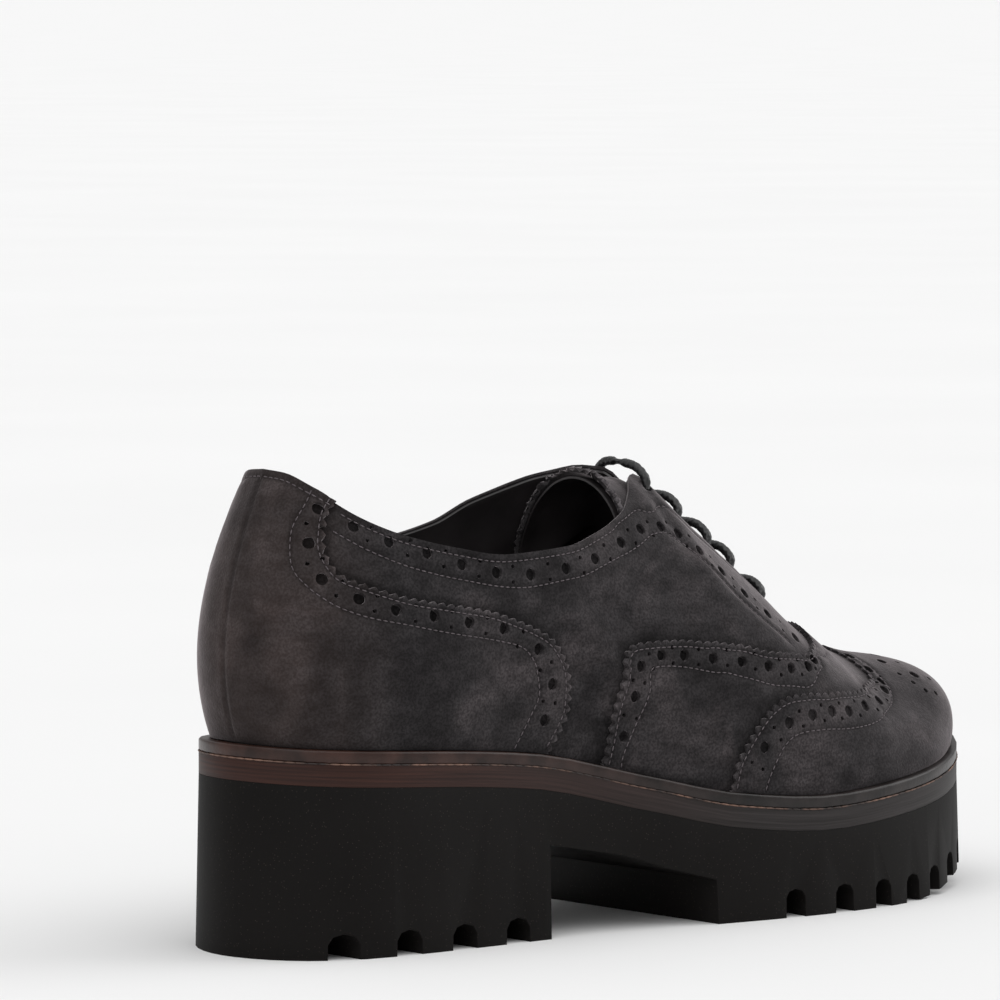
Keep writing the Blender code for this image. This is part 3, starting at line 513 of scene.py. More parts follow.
def side_normal(station, rise, side):
    near = np.clip(station, GRID_STEP, 1 - 2 * GRID_STEP)
    along = upper_point(near + GRID_STEP, rise, side) - upper_point(near - GRID_STEP, rise, side)
    low = np.clip(rise - GRID_STEP, 0, 1)
    high = np.clip(rise + GRID_STEP, 0, 1)
    up = upper_point(near, high, side) - upper_point(near, low, side)
    normal = np.cross(along, up) * -side
    return normal / (np.linalg.norm(normal, axis=-1)[..., None] + 1e-15)


def upper_normal(station, rise, side):
    """Outward direction, shared by both sides where they meet at heel, ridge and toe."""
    station, rise = np.broadcast_arrays(np.asarray(station, float), np.asarray(rise, float))
    normal = side_normal(station, rise, side)
    heel = np.clip(1 - station / 0.01, 0, 1)
    toe = np.clip((station - 0.985) / 0.015, 0, 1)
    ridge = np.clip((rise - 0.95) / 0.05, 0, 1) * (station >= SLOT_STATION - 1e-6)
    share = np.maximum(np.maximum(heel, toe), ridge)[..., None]
    blended = normal + share * side_normal(station, rise, -side)
    return blended / (np.linalg.norm(blended, axis=-1)[..., None] + 1e-15)


# Soft dents and ridges that wear has put in the suede, heights off the last's surface
Crease = namedtuple("Crease", "station rise end_station end_rise wide height")
CREASES = (
    Crease(0.420, 0.640, 0.445, 0.400, 0.0065, 0.0011),
    Crease(0.436, 0.700, 0.470, 0.560, 0.0060, -0.0010),
    Crease(0.415, 0.480, 0.425, 0.200, 0.0060, -0.0009),
    Crease(0.500, 0.700, 0.530, 0.520, 0.0090, -0.0008),
    Crease(0.560, 0.520, 0.600, 0.430, 0.0070, 0.0008),
    Crease(0.340, 0.400, 0.350, 0.180, 0.0110, -0.0009),
    Crease(0.240, 0.330, 0.290, 0.230, 0.0120, 0.0008),
    Crease(0.520, 0.200, 0.500, 0.100, 0.0090, -0.0007),
    Crease(0.620, 0.150, 0.680, 0.120, 0.0080, 0.0006),
    Crease(0.760, 0.330, 0.800, 0.280, 0.0070, -0.0008),
    Crease(0.700, 0.220, 0.760, 0.180, 0.0080, 0.0003),
)


def relief(points, side):
    """Height that the creases add at points of the upper."""
    height = np.zeros(len(points))
    for crease in CREASES:
        start = upper_point(crease.station, crease.rise, side)
        end = upper_point(crease.end_station, crease.end_rise, side)
        run = end - start
        share = np.clip((points - start) @ run / (run @ run), 0, 1)
        apart = np.linalg.norm(points - start - share[:, None] * run, axis=1)
        height += crease.height * fade(apart, crease.wide)
    return height


def on_upper(spots, side, height=0.0):
    """Places (station, rise) spots a height above the creased upper."""
    points = upper_point(spots[:, 0], spots[:, 1], side)
    normals = upper_normal(spots[:, 0], spots[:, 1], side)
    heel = -HEEL_SLIM * fade(spots[:, 0], HEEL_SLIM_REACH) * (1 - 0.4 * spots[:, 1])
    placed = points + normals * (height + heel + relief(points, side))[:, None]
    near_top = spots[:, 1] ** 4
    placed[:, 2] -= COLLAR_DIP * fade(spots[:, 0] - COLLAR_DIP_AT, COLLAR_SPREAD) * near_top
    if side == INNER:
        placed[:, 2] += INNER_RAISE * fade(spots[:, 0] - INNER_RAISE_AT, COLLAR_SPREAD) * near_top
    return placed


# Drawing on the upper, in millimetre-true steps
def surface_steps(spots, moves):
    """Changes of station and rise that make the given moves along the surface."""
    d = 0.001
    a = np.clip(spots[:, 0], d, 1 - d)
    v = np.clip(spots[:, 1], d, 1 - d)
    along = (upper_point(a + d, v, OUTER) - upper_point(a - d, v, OUTER)) / (2 * d)
    up = (upper_point(a, v + d, OUTER) - upper_point(a, v - d, OUTER)) / (2 * d)
    aa = (along * along).sum(1)
    au = (along * up).sum(1)
    uu = (up * up).sum(1)
    ma = (moves * along).sum(1)
    mu = (moves * up).sum(1)
    det = aa * uu - au * au
    return np.column_stack([(uu * ma - au * mu) / det, (aa * mu - au * ma) / det])


def lengths_along(spots):
    return running_length(upper_point(spots[:, 0], spots[:, 1], OUTER))


def even_line(spots, pitch, start=0.0):
    """The line's spots again, a pitch apart on the surface."""
    lengths = lengths_along(spots)
    stops = np.arange(start, lengths[-1], pitch)
    return at_lengths(stops, lengths, spots)


def inward(spots, turn):
    """Unit directions in the surface, square to the line: turn 1 is to its left."""
    points = upper_point(spots[:, 0], spots[:, 1], OUTER)
    ahead = np.gradient(points, axis=0)
    normal = side_normal(spots[:, 0], spots[:, 1], OUTER)
    across = np.cross(normal, ahead) * turn
    return across / np.linalg.norm(across, axis=1)[:, None]


def beside(spots, distance, turn):
    """The line moved sideways on the surface, without the loops that sharp corners leave."""
    line = even_line(spots, 0.0005)
    base = upper_point(line[:, 0], line[:, 1], OUTER)
    moves = inward(line, turn)
    steps = max(1, math.ceil(abs(distance) / 0.001))
    moved = line.copy()
    for _ in range(steps):
        moved = moved + surface_steps(moved, moves * distance / steps)
    there = upper_point(moved[:, 0], moved[:, 1], OUTER)
    gaps = np.array([np.linalg.norm(base - p, axis=1).min() for p in there])
    kept = gaps > 0.96 * abs(distance)
    kept &= (moved[:, 1] > 0.004) & (moved[:, 1] < 1.0) & (moved[:, 0] > 0.0)
    return moved[kept]


def pinked(spots, turn):
    """Saw-toothed line: tips on the line, valleys set in from it."""
    length = lengths_along(spots)[-1]
    teeth = round(length / PINK_PITCH)
    line = even_line(spots, length / teeth / TOOTH_POINTS * 0.9999)
    share = np.arange(len(line)) / TOOTH_POINTS
    depth = PINK_DEPTH * np.abs(2 * (share % 1) - 1) ** TOOTH_ROUND
    moves = inward(line, turn) * depth[:, None]
    out = line + surface_steps(line, moves)
    out[0] = line[0]
    out[-1] = spots[-1]
    return out


Hole = namedtuple("Hole", "spot reach")


def punch(spot, diameter):
    """A round hole: its middle and the step in station and rise of two square radii."""
    spot = np.asarray(spot, float)
    point = np.vstack([spot, spot])
    d = 0.001
    along = upper_point(spot[0] + d, spot[1], OUTER) - upper_point(spot[0] - d, spot[1], OUTER)
    along = along / np.linalg.norm(along)
    across = np.cross(side_normal(spot[0], spot[1], OUTER), along)
    return Hole(spot, surface_steps(point, np.array([along, across]) * diameter / 2))


def ring_of(hole, count, swell=1.0):
    turns = np.linspace(0, 2 * math.pi, count, endpoint=False)[:, None]
    return hole.spot + swell * (np.cos(turns) * hole.reach[0] + np.sin(turns) * hole.reach[1])


def punch_row(spots):
    """A large hole at each spot of a row and a pair of small ones between each two."""
    spots = np.array(spots)
    middles = (spots[1:] + spots[:-1]) / 2
    points = upper_point(spots[:, 0], spots[:, 1], OUTER)
    ahead = np.diff(points, axis=0)
    across = np.cross(side_normal(middles[:, 0], middles[:, 1], OUTER), ahead)
    across = across / np.linalg.norm(across, axis=1)[:, None]
    holes = [punch(spot, BIG_HOLE) for spot in spots]
    for sign in (-1, 1):
        moved = middles + surface_steps(middles, across * sign * PAIR_APART / 2)
        holes.extend(punch(spot, SMALL_HOLE) for spot in moved)
    return [h for h in holes if 0.035 < h.spot[1] < 0.985]


def as_seen(table, height):
    """A line read off the bare last, slid to where a panel of that height shows it to the camera."""
    spots = np.array(table)
    points = upper_point(spots[:, 0], spots[:, 1], OUTER)
    normals = side_normal(spots[:, 0], spots[:, 1], OUTER)
    sight = points - np.array(CAMERA_PLACE)
    sight = sight / np.linalg.norm(sight, axis=1)[:, None]
    facing = np.minimum((sight * normals).sum(1), -0.35)[:, None]
    moved = spots + surface_steps(spots, height * (sight / facing - normals))
    ends = (spots[:, 1] <= 0) | (spots[:, 1] >= 1)
    moved[ends, 1] = spots[ends, 1]
    return moved


# Cutting panels: SPREAD turns station and rise into flat units of about a millimetre
SPREAD = np.array([330.0, 75.0])
PANEL_GRID = 1.9
GRID_CLEAR = 0.85
DETAIL_CLEAR = 0.35
LARGE_RADIUS = 1.2
HOLE_RIM = 0.985


def inside_outline(points, loop):
    inside = np.zeros(len(points), bool)
    x = points[:, 0]
    y = points[:, 1]
    for (x1, y1), (x2, y2) in zip(loop, np.roll(loop, -1, 0)):
        if y1 == y2:
            continue
        crosses = (y1 > y) != (y2 > y)
        inside ^= crosses & (x < (x2 - x1) * (y - y1) / (y2 - y1) + x1)
    return inside


def from_hole(spots, hole):
    """Distance from a hole's middle, in radii of the hole."""
    return np.linalg.norm((spots - hole.spot) @ np.linalg.inv(hole.reach), axis=1)


def inside_holes(spots, holes):
    found = np.zeros(len(spots), bool)
    for hole in holes:
        found |= from_hole(spots, hole) < HOLE_RIM
    return found


def edge_between(start, end):
    """Points along a plain side of a panel, about a grid step apart."""
    start = np.asarray(start, float)
    end = np.asarray(end, float)
    count = max(2, int(np.linalg.norm((end - start) * SPREAD) / PANEL_GRID))
    return start + np.linspace(0, 1, count, endpoint=False)[:, None] * (end - start)


def straight_sides(*corners):
    """Points along the plain sides from corner to corner, up to the last corner."""
    return np.vstack([edge_between(start, end) for start, end in zip(corners, corners[1:])])


def tree_of(points):
    tree = kdtree.KDTree(len(points))
    for i, point in enumerate(points):
        tree.insert(point, i)
    tree.balance()
    return tree


def nearest(points, marks):
    """Distance of each point to the nearest mark."""
    tree = tree_of(marks)
    return np.array([tree.find(point)[2] for point in points])


def spread_out(spots):
    return np.pad(spots * SPREAD, ((0, 0), (0, 1)))


def cut_panel(loop, holes, rows):
    """Triangles of a flat panel with its holes, finer round them and along its stitch rows."""
    taken = [loop]
    edges = [(i, (i + 1) % len(loop)) for i in range(len(loop))]
    count = len(loop)
    detail = []
    for hole in holes:
        large = np.linalg.norm(hole.reach[1] * SPREAD) > LARGE_RADIUS
        sides = 18 if large else 10
        taken.append(ring_of(hole, sides))
        edges += [(count + i, count + (i + 1) % sides) for i in range(sides)]
        count += sides
        for swell in ((1.18, 1.5) if large else (1.5,)):
            detail.append(ring_of(hole, 18 if large else 8, swell))
    for row in rows:
        detail.append(even_line(row, 0.0008))
        line = even_line(row, 0.0009)
        for turn in (-1, 1):
            for away in (0.0005, 0.0011):
                detail.append(line + surface_steps(line, inward(line, turn) * away))
    low = loop.min(0)
    high = loop.max(0)
    steps = PANEL_GRID / SPREAD
    columns = [np.arange(low[k], high[k], steps[k]) for k in (0, 1)]
    grid = np.stack(np.meshgrid(*columns, indexing="ij"), -1).reshape(-1, 2)
    taken = np.vstack(taken)
    for batch, clear in ((np.vstack(detail), DETAIL_CLEAR), (grid, GRID_CLEAR)):
        batch = batch[inside_outline(batch, loop) & ~inside_holes(batch, holes)]
        taken = np.vstack([taken, batch[nearest(spread_out(batch), spread_out(taken)) > clear]])
    flat = [tuple(p) for p in taken * SPREAD]
    verts, _, faces, *_ = delaunay_2d_cdt(flat, edges, [], 0, 1e-6, False)
    verts = np.array([tuple(v) for v in verts]) / SPREAD
    faces = np.array([f for f in faces if len(f) == 3])
    middles = verts[faces].mean(1)
    keep = inside_outline(middles, loop) & ~inside_holes(middles, holes)
    faces = faces[keep]
    used = np.unique(faces)
    order = np.full(len(verts), -1)
    order[used] = np.arange(len(used))
    return verts[used], order[faces]


def new_piece(name, verts, faces):
    mesh = bpy.data.meshes.new(name)
    mesh.from_pydata([tuple(map(float, v)) for v in verts], [], [tuple(map(int, f)) for f in faces])
    piece = bpy.data.objects.new(name, mesh)
    bpy.context.scene.collection.objects.link(piece)
    return piece


def choose(piece):
    bpy.ops.object.select_all(action="DESELECT")
    piece.select_set(True)
    bpy.context.view_layer.objects.active = piece


def apply_modifiers(piece):
    choose(piece)
    for step in list(piece.modifiers):
        bpy.ops.object.modifier_apply(modifier=step.name)


def mend(piece, merge=0.0, outward=True):
    """Merges points that share a place, and turns the faces outwards."""
    choose(piece)
    bpy.ops.object.mode_set(mode="EDIT")
    bpy.ops.mesh.select_all(action="SELECT")
    if merge:
        bpy.ops.mesh.remove_doubles(threshold=merge)
    if outward:
        bpy.ops.mesh.normals_make_consistent(inside=False)
    bpy.ops.object.mode_set(mode="OBJECT")


def add_point_values(piece, name, values):
    piece.data.attributes.new(name, "FLOAT", "POINT").data.foreach_set("value", values)


def round_edges(piece, name, width, segments, angle):
    """Bevel on the edges that turn more than the angle in degrees."""
    soft = piece.modifiers.new(name, "BEVEL")
    soft.width = width
    soft.segments = segments
    soft.limit_method = "ANGLE"
    soft.angle_limit = math.radians(angle)


def give_thickness(piece, thick, rounding, inner_material=0):
    """Wall on the inside of a sheet, with its cut edges rounded."""
    wall = piece.modifiers.new("thickness", "SOLIDIFY")
    wall.thickness = thick
    wall.offset = -1
    wall.material_offset = inner_material
    wall.material_offset_rim = inner_material
    round_edges(piece, "cut_edges", rounding, 2, CUT_ANGLE)
    apply_modifiers(piece)


def finish_piece(piece, material, slot_name, *nodes, smooth=50):
    choose(piece)
    if material:
        piece.data.materials.clear()
        piece.data.materials.append(material)
    bpy.ops.object.shade_smooth_by_angle(angle=math.radians(smooth))
    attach(piece, "root")
    if nodes:
        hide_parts(*nodes)
    return piece


def from_lines(flat, lines, side):
    """Distance of points on the upper to the nearest of some lines drawn on it."""
    marks = np.vstack([even_line(line, MARK_STEP) for line in lines])
    return nearest(flat, on_upper(marks, side))


def leather_panel(name, loop, holes, rows, face, thick, inner_side, edge=None, painted_shade_floors=(), painted_shadow_edges=()):
    """A panel of both sides, joined where they meet, with its thickness and rounded cuts. Its pale values
    lighten the pinked edge (the raw edge's own tone plus a painted highlight) and the hole rims (painted
    highlight), and paint shade in stitch channels, on hole floors and beside overlay edges.
    """
    spots, triangles = cut_panel(loop, holes, rows)
    verts = []
    faces = []
    paleness = []
    for side in (OUTER, INNER):
        flat = on_upper(spots, side)
        height = np.full(len(spots), face)
        pale = np.zeros(len(spots))
        if edge is not None:
            # Lighter pinked edge: the raw cut's own paler tone plus a painted highlight where its tips
            # catch light
            pale += fade(from_lines(flat, [edge], side), 0.0008)
        for line in painted_shadow_edges:
            # Painted shadow on the panel just beside an overlay's edge
            pale -= 0.45 * fade(from_lines(flat, [line], side), 0.0014)
        for hole in painted_shade_floors:
            # Painted shade on the panel where it shows as the floor of an overlay's hole
            pale -= 0.45 * fade(from_hole(spots, hole) ** 2, 1.1 ** 2)
        if rows:
            apart = from_lines(flat, rows, side)
            height -= CHANNEL_DEPTH * fade(apart, CHANNEL_WIDE)
            # Painted shade in the sunk stitch channel
            pale -= 0.25 * fade(apart, CHANNEL_WIDE)
            height += 0.4 * CHANNEL_DEPTH * fade(apart - CHANNEL_BANK, 0.0009)
        for hole in holes:
            far = from_hole(spots, hole)
            height += HOLE_LIP * fade(far - 1.25, 0.3)
            # Painted highlight on the raised rim round each hole
            pale += 0.30 * fade(far - 1.2, 0.2)
        placed = on_upper(spots, side, height)
        placed[:, 2] = np.maximum(placed[:, 2], welt_top(placed[:, 0] - SHIFT[0]) + GAP)
        order = triangles if side == OUTER else triangles[:, ::-1]
        faces.extend(order + len(verts))
        verts.extend(placed)
        paleness.extend(pale)
    piece = new_piece(name, verts, faces)
    add_point_values(piece, "pale", paleness)
    piece.data.materials.append(suede)
    piece.data.materials.append(inner_side)
    mend(piece, MERGE, outward=False)
    give_thickness(piece, thick, CUT_ROUNDING, inner_material=1)
    return piece


# Materials
def shade(hex_colour):
    """sRGB hex to linear colour."""
    values = [int(hex_colour[i:i + 2], 16) / 255 for i in (1, 3, 5)]
    return [v / 12.92 if v <= 0.04045 else ((v + 0.055) / 1.055) ** 2.4 for v in values] + [1.0]


def per_metre(size):
    """Scale that repeats a pattern about once in a size in millimetres."""
    return 1000 / size


def fill(node, inputs):
    """Gives a node's inputs their values or links."""
    for key, value in inputs.items():
        if isinstance(value, bpy.types.NodeSocket):
            node.id_data.links.new(value, node.inputs[key])
        else:
            node.inputs[key].default_value = value


def add(tree, kind, inputs=None, stops=(), **settings):
    """Adds a node with its settings, colour stops, and values or links for its inputs."""
    made = tree.nodes.new("ShaderNode" + kind)
    for name, value in settings.items():
        setattr(made, name, value)
    fill(made, inputs or {})
    for number, (position, colour) in enumerate(stops):
        elements = made.color_ramp.elements
        element = elements[number] if number < 2 else elements.new(position)
        element.position = position
        element.color = shade(colour)
    return made


def new_material(name):
    """A material with its node tree, its Object coordinates and its shader."""
    made = bpy.data.materials.new(name)
    made.use_nodes = True
    tree = made.node_tree
    tree.nodes.clear()
    place = add(tree, "TexCoord").outputs["Object"]
    shader = add(tree, "BsdfPrincipled")
    add(tree, "OutputMaterial", {"Surface": shader.outputs[0]})
    return made, tree, place, shader


def heel_to_front(tree, along, pattern, heel, front):
    """Colour of a sole leather: its own pair of tones at the heel, and another further forward."""
    forward = add(
        tree,
        "MapRange",
        {"Value": along, "From Min": -0.10, "From Max": 0.02, "To Min": 0.0, "To Max": 1.0},
    )
    heel_tone = add(tree, "ValToRGB", {"Fac": pattern}, heel)
    front_tone = add(tree, "ValToRGB", {"Fac": pattern}, front)
    tones = {"Factor": forward.outputs[0], 6: heel_tone.outputs["Color"], 7: front_tone.outputs["Color"]}
    return add(tree, "Mix", tones, data_type="RGBA").outputs[2]


# Brushed calf suede: matt nap, darker and lighter where it was stroked, browner and lighter at the heel's
# back, from its own brown tinge plus a painted highlight of grazing light.
# Real fibres are about 0.05 mm thick, too fine to show, so the nap is drawn at 0.67 mm.
suede, tree, place, shader = new_material("brushed_charcoal_suede")
strokes = {"Vector": place, "Scale": per_metre(29.41), "Detail": 4.0, "Distortion": 1.2}
stroked = add(tree, "TexNoise", strokes)
greys = ((0.34, "#1E1C1D"), (0.68, "#393536"), (0.50, "#292728"))
tone = add(tree, "ValToRGB", {"Fac": stroked.outputs["Fac"]}, greys)
stretched = add(tree, "Mapping", {"Vector": place, "Scale": (1.0, 1.0, 2.2)})
rubs = add(tree, "TexNoise", {"Vector": stretched.outputs[0], "Scale": per_metre(8.333), "Detail": 5.0})
rub_tone = add(
    tree,
    "MapRange",
    {"Value": rubs.outputs["Fac"], "From Min": 0.35, "From Max": 0.65, "To Min": 0.70, "To Max": 1.30},
)
rubbed = add(tree, "VectorMath", {0: tone.outputs[0], "Scale": rub_tone.outputs[0]}, operation="SCALE")
nap = add(tree, "TexNoise", {"Vector": place, "Scale": per_metre(0.66667), "Detail": 3.0})
nap_tone = add(
    tree,
    "MapRange",
    {"Value": nap.outputs["Fac"], "From Min": 0.38, "From Max": 0.62, "To Min": 0.66, "To Max": 1.38},
)
napped = add(tree, "VectorMath", {0: rubbed.outputs[0], "Scale": nap_tone.outputs[0]}, operation="SCALE")
axes = add(tree, "SeparateXYZ", {"Vector": place})
# Browner and lighter towards the heel's back: partly the suede's own brown tinge, partly a painted
# highlight where light grazes the nap
at_heel = add(
    tree,
    "MapRange",
    {"Value": axes.outputs["X"], "From Min": -0.136, "From Max": -0.098, "To Min": 0.65, "To Max": 0.0},
)
heel_tint_and_light = add(tree, "Math", {0: at_heel.outputs[0], 1: stroked.outputs["Fac"]}, operation="MULTIPLY")
heel_tint_and_light_mix = {"Factor": heel_tint_and_light.outputs[0], 6: napped.outputs[0], 7: shade("#4A3D39")}
heel_tinted_and_lit = add(tree, "Mix", heel_tint_and_light_mix, data_type="RGBA")
# Pale values from the panels: lighter pinked edges (own raw edge tone plus painted highlight), painted
# highlights on hole rims, painted shade in channels, hole floors and beside overlay edges
pale = add(tree, "Attribute", attribute_name="pale")
pale_scale = add(tree, "Math", {0: pale.outputs["Fac"], 1: 1.2, 2: 1.0}, operation="MULTIPLY_ADD")
with_edge_tone_and_painted_light = add(tree, "VectorMath", {0: heel_tinted_and_lit.outputs[2], "Scale": pale_scale.outputs[0]}, operation="SCALE")
nap_bump = add(tree, "Bump", {"Height": nap.outputs["Fac"], "Strength": 0.5, "Distance": 0.0002})
rub_bump = add(
    tree,
    "Bump",
    {"Height": rubs.outputs["Fac"], "Strength": 0.35, "Distance": 0.0008, "Normal": nap_bump.outputs[0]},
)
fill(shader, {
    "Base Color": with_edge_tone_and_painted_light.outputs[0],
    "Normal": rub_bump.outputs[0],
    "Roughness": 0.95,
    "Specular IOR Level": 0.12,
    "Sheen Weight": 1.0,
    "Sheen Roughness": 0.34,
    "Sheen Tint": shade("#B9B1B3"),
})

# Black lining leather: smooth and slightly glossy. Its real grain is about 0.3 mm, too fine to
# show, so it is drawn at 1.1 mm.
lining_leather, tree, place, shader = new_material("black_lining_leather")
grain = add(tree, "TexVoronoi", {"Vector": place, "Scale": per_metre(1.1111)})
cloudy = add(tree, "TexNoise", {"Vector": place, "Scale": per_metre(16.667), "Detail": 3.0})
tone = add(tree, "ValToRGB", {"Fac": cloudy.outputs["Fac"]}, ((0.35, "#201D1E"), (0.68, "#312D2E")))
bump = add(tree, "Bump", {"Height": grain.outputs["Distance"], "Strength": 0.35, "Distance": 0.0001})
fill(shader, {"Base Color": tone.outputs["Color"], "Normal": bump.outputs[0], "Roughness": 0.45})

# Dark welt leather: waxed edge with rubbed patches, redder at the heel. Its real fibres are
# about 0.1 mm, too fine to show, so they are drawn at 1.1 mm.
welt_leather, tree, place, shader = new_material("waxed_welt_leather")
axes = add(tree, "SeparateXYZ", {"Vector": place})
cloudy = add(tree, "TexNoise", {"Vector": place, "Scale": per_metre(7.6923), "Detail": 5.0})
reds = ((0.35, "#261814"), (0.66, "#402B25"))
greys = ((0.35, "#191615"), (0.66, "#2C2726"))
tone = heel_to_front(tree, axes.outputs["X"], cloudy.outputs["Fac"], reds, greys)
fibre = add(tree, "TexNoise", {"Vector": place, "Scale": per_metre(1.1111), "Detail": 3.0})
bump = add(tree, "Bump", {"Height": fibre.outputs["Fac"], "Strength": 0.35, "Distance": 0.0002})
fill(shader, {"Base Color": tone, "Normal": bump.outputs[0], "Roughness": 0.32, "Specular IOR Level": 0.28})

# Stacked midsole leather: layers about 0.6 mm thick seen edge on, red brown at the heel and
# greyer forward
midsole_leather, tree, place, shader = new_material("stacked_midsole_leather")
axes = add(tree, "SeparateXYZ", {"Vector": place})
depth = add(tree, "Attribute", attribute_name="depth")
stack = {"X": axes.outputs["X"], "Y": axes.outputs["Y"], "Z": depth.outputs["Fac"]}
layered = add(tree, "CombineXYZ", stack)
layer_scale = (per_metre(33.333), per_metre(33.333), per_metre(0.625))
squeezed = add(tree, "Mapping", {"Vector": layered.outputs[0], "Scale": layer_scale})
layers = add(tree, "TexNoise", {"Vector": squeezed.outputs[0], "Scale": 1.0, "Detail": 3.0})
reds = ((0.30, "#271612"), (0.72, "#3D241D"))
greys = ((0.30, "#211E1D"), (0.72, "#332F2F"))
tone = heel_to_front(tree, axes.outputs["X"], layers.outputs["Fac"], reds, greys)
bump = add(tree, "Bump", {"Height": layers.outputs["Fac"], "Strength": 0.4, "Distance": 0.0002})
fill(shader, {"Base Color": tone, "Normal": bump.outputs[0], "Roughness": 0.5, "Specular IOR Level": 0.2})

# Black rubber: dull, with fine pale specks about 1 mm apart
rubber, tree, place, shader = new_material("speckled_black_rubber")
cloudy = add(tree, "TexNoise", {"Vector": place, "Scale": per_metre(40), "Detail": 3.0})
tone = add(tree, "ValToRGB", {"Fac": cloudy.outputs["Fac"]}, ((0.30, "#0D0B0A"), (0.70, "#131110")))
speck = add(tree, "TexVoronoi", {"Vector": place, "Scale": per_metre(1.1111)})
speck_size = add(
    tree,
    "MapRange",
    {"Value": speck.outputs["Distance"], "From Min": 0.10, "From Max": 0.18, "To Min": 0.13, "To Max": 0.0},
)
dust = {"Factor": speck_size.outputs[0], 6: tone.outputs["Color"], 7: shade("#6E625C")}
specked = add(tree, "Mix", dust, data_type="RGBA")
skin = add(tree, "TexNoise", {"Vector": place, "Scale": per_metre(1.42857), "Detail": 3.0})
bump = add(tree, "Bump", {"Height": skin.outputs["Fac"], "Strength": 0.3, "Distance": 0.0001})
fill(shader, {
    "Base Color": specked.outputs[2],
    "Normal": bump.outputs[0],
    "Roughness": 0.6,
    "Specular IOR Level": 0.12,
})

# Waxed cotton lace: black, its braid catching small lights. Its yarn is about 0.3 mm, too fine
# to show, so it is drawn at 0.67 mm.
lace_cotton, tree, place, shader = new_material("waxed_cotton_lace")
threads = add(tree, "TexNoise", {"Vector": place, "Scale": per_metre(0.66667), "Detail": 2.0})
tone = add(tree, "ValToRGB", {"Fac": threads.outputs["Fac"]}, ((0.35, "#0F0F10"), (0.68, "#262627")))
bump = add(tree, "Bump", {"Height": threads.outputs["Fac"], "Strength": 0.4, "Distance": 0.0001})
fill(shader, {"Base Color": tone.outputs["Color"], "Normal": bump.outputs[0], "Roughness": 0.32})

# Grey sewing thread: a little paler than the suede. Its plies are about 0.2 mm, too fine to
# show, so they are drawn at 0.4 mm.
sewing_thread, tree, place, shader = new_material("grey_sewing_thread")
plies = add(tree, "TexNoise", {"Vector": place, "Scale": per_metre(0.4), "Detail": 1.0})
tone = add(tree, "ValToRGB", {"Fac": plies.outputs["Fac"]}, ((0.35, "#4A4346"), (0.68, "#665E61")))
fill(shader, {"Base Color": tone.outputs["Color"], "Roughness": 0.7})

# Tan welt thread: the warm line between welt and midsole, dark in places along its length
tan_thread, tree, place, shader = new_material("tan_welt_thread")
dark_patches = add(tree, "TexNoise", {"Vector": place, "Scale": per_metre(9.0909), "Detail": 4.0})
tone = add(tree, "ValToRGB", {"Fac": dark_patches.outputs["Fac"]}, ((0.43, "#261C19"), (0.66, "#7C5D4E")))
fill(shader, {"Base Color": tone.outputs["Color"], "Roughness": 0.6})

# Pale studio paper: an even sheet, barely clouded
paper, tree, place, shader = new_material("pale_studio_paper")
clouds = add(tree, "TexNoise", {"Vector": place, "Scale": per_metre(333.333), "Detail": 2.0})
tone = add(tree, "ValToRGB", {"Fac": clouds.outputs["Fac"]}, ((0.30, "#ECECEC"), (0.70, "#EEEEEE")))
fill(shader, {"Base Color": tone.outputs["Color"], "Roughness": 0.9, "Specular IOR Level": 0.0})

# Drawing of the panels, one side for both
PANEL_FRONT = 0.84
counter_edge = rounded(as_seen(COUNTER_EDGE, COUNTER_FACE), 12)
vamp_edge = rounded(as_seen(VAMP_EDGE, VAMP_FACE), 12)
cap_edge = rounded(as_seen(CAP_EDGE, CAP_FACE), 12)
lower_collar_row = rounded(LOWER_COLLAR_ROW, 12)
topline = np.column_stack([np.linspace(0.0, SLOT_STATION, 400), np.ones(400)])

collar_line = beside(topline, COLLAR_STITCH, -1)
counter_rows = [
    beside(counter_edge, EDGE_STITCH, -1),
    rounded(as_seen(COUNTER_STITCH, COUNTER_FACE), 12),
    collar_line[collar_line[:, 0] < COUNTER_TOP_END],
]
vamp_rows = [beside(vamp_edge, EDGE_STITCH, -1), rounded(as_seen(VAMP_STITCH, VAMP_FACE), 12)]
cap_rows = [beside(cap_edge, EDGE_STITCH, -1), rounded(as_seen(CAP_STITCH, CAP_FACE), 12)]
back_seam = np.column_stack([np.full(60, 0.0006), np.linspace(0.03, 0.97, 60)])
counter_holes = punch_row(as_seen(COUNTER_HOLES, COUNTER_FACE))
vamp_holes = punch_row(as_seen(VAMP_HOLES, VAMP_FACE))
cap_holes = punch_row(as_seen(CAP_HOLES, CAP_FACE))
collar_holes = punch_row(COLLAR_HOLES)
toe_holes = [punch(dot, size) for *dot, size in MEDALLION]
eyelet_holes = [punch(eyelet, EYELET_HOLE) for eyelet in EYELETS]
along_collar = (collar_line[:, 0] > COUNTER_TOP_END + 0.010) & (collar_line[:, 0] < 0.490)
collar_rows = [np.vstack([collar_line[along_collar], rounded(FACING_STITCH, 12)]), lower_collar_row]


def from_edge_to(front, edge):
    """Outline of a panel that runs forward from its pinked edge."""
    sides = straight_sides(edge[0], (front, 0.0), (front, 1.0), edge[-1])
    return np.vstack([sides, pinked(edge, -1)[::-1][:-1]])


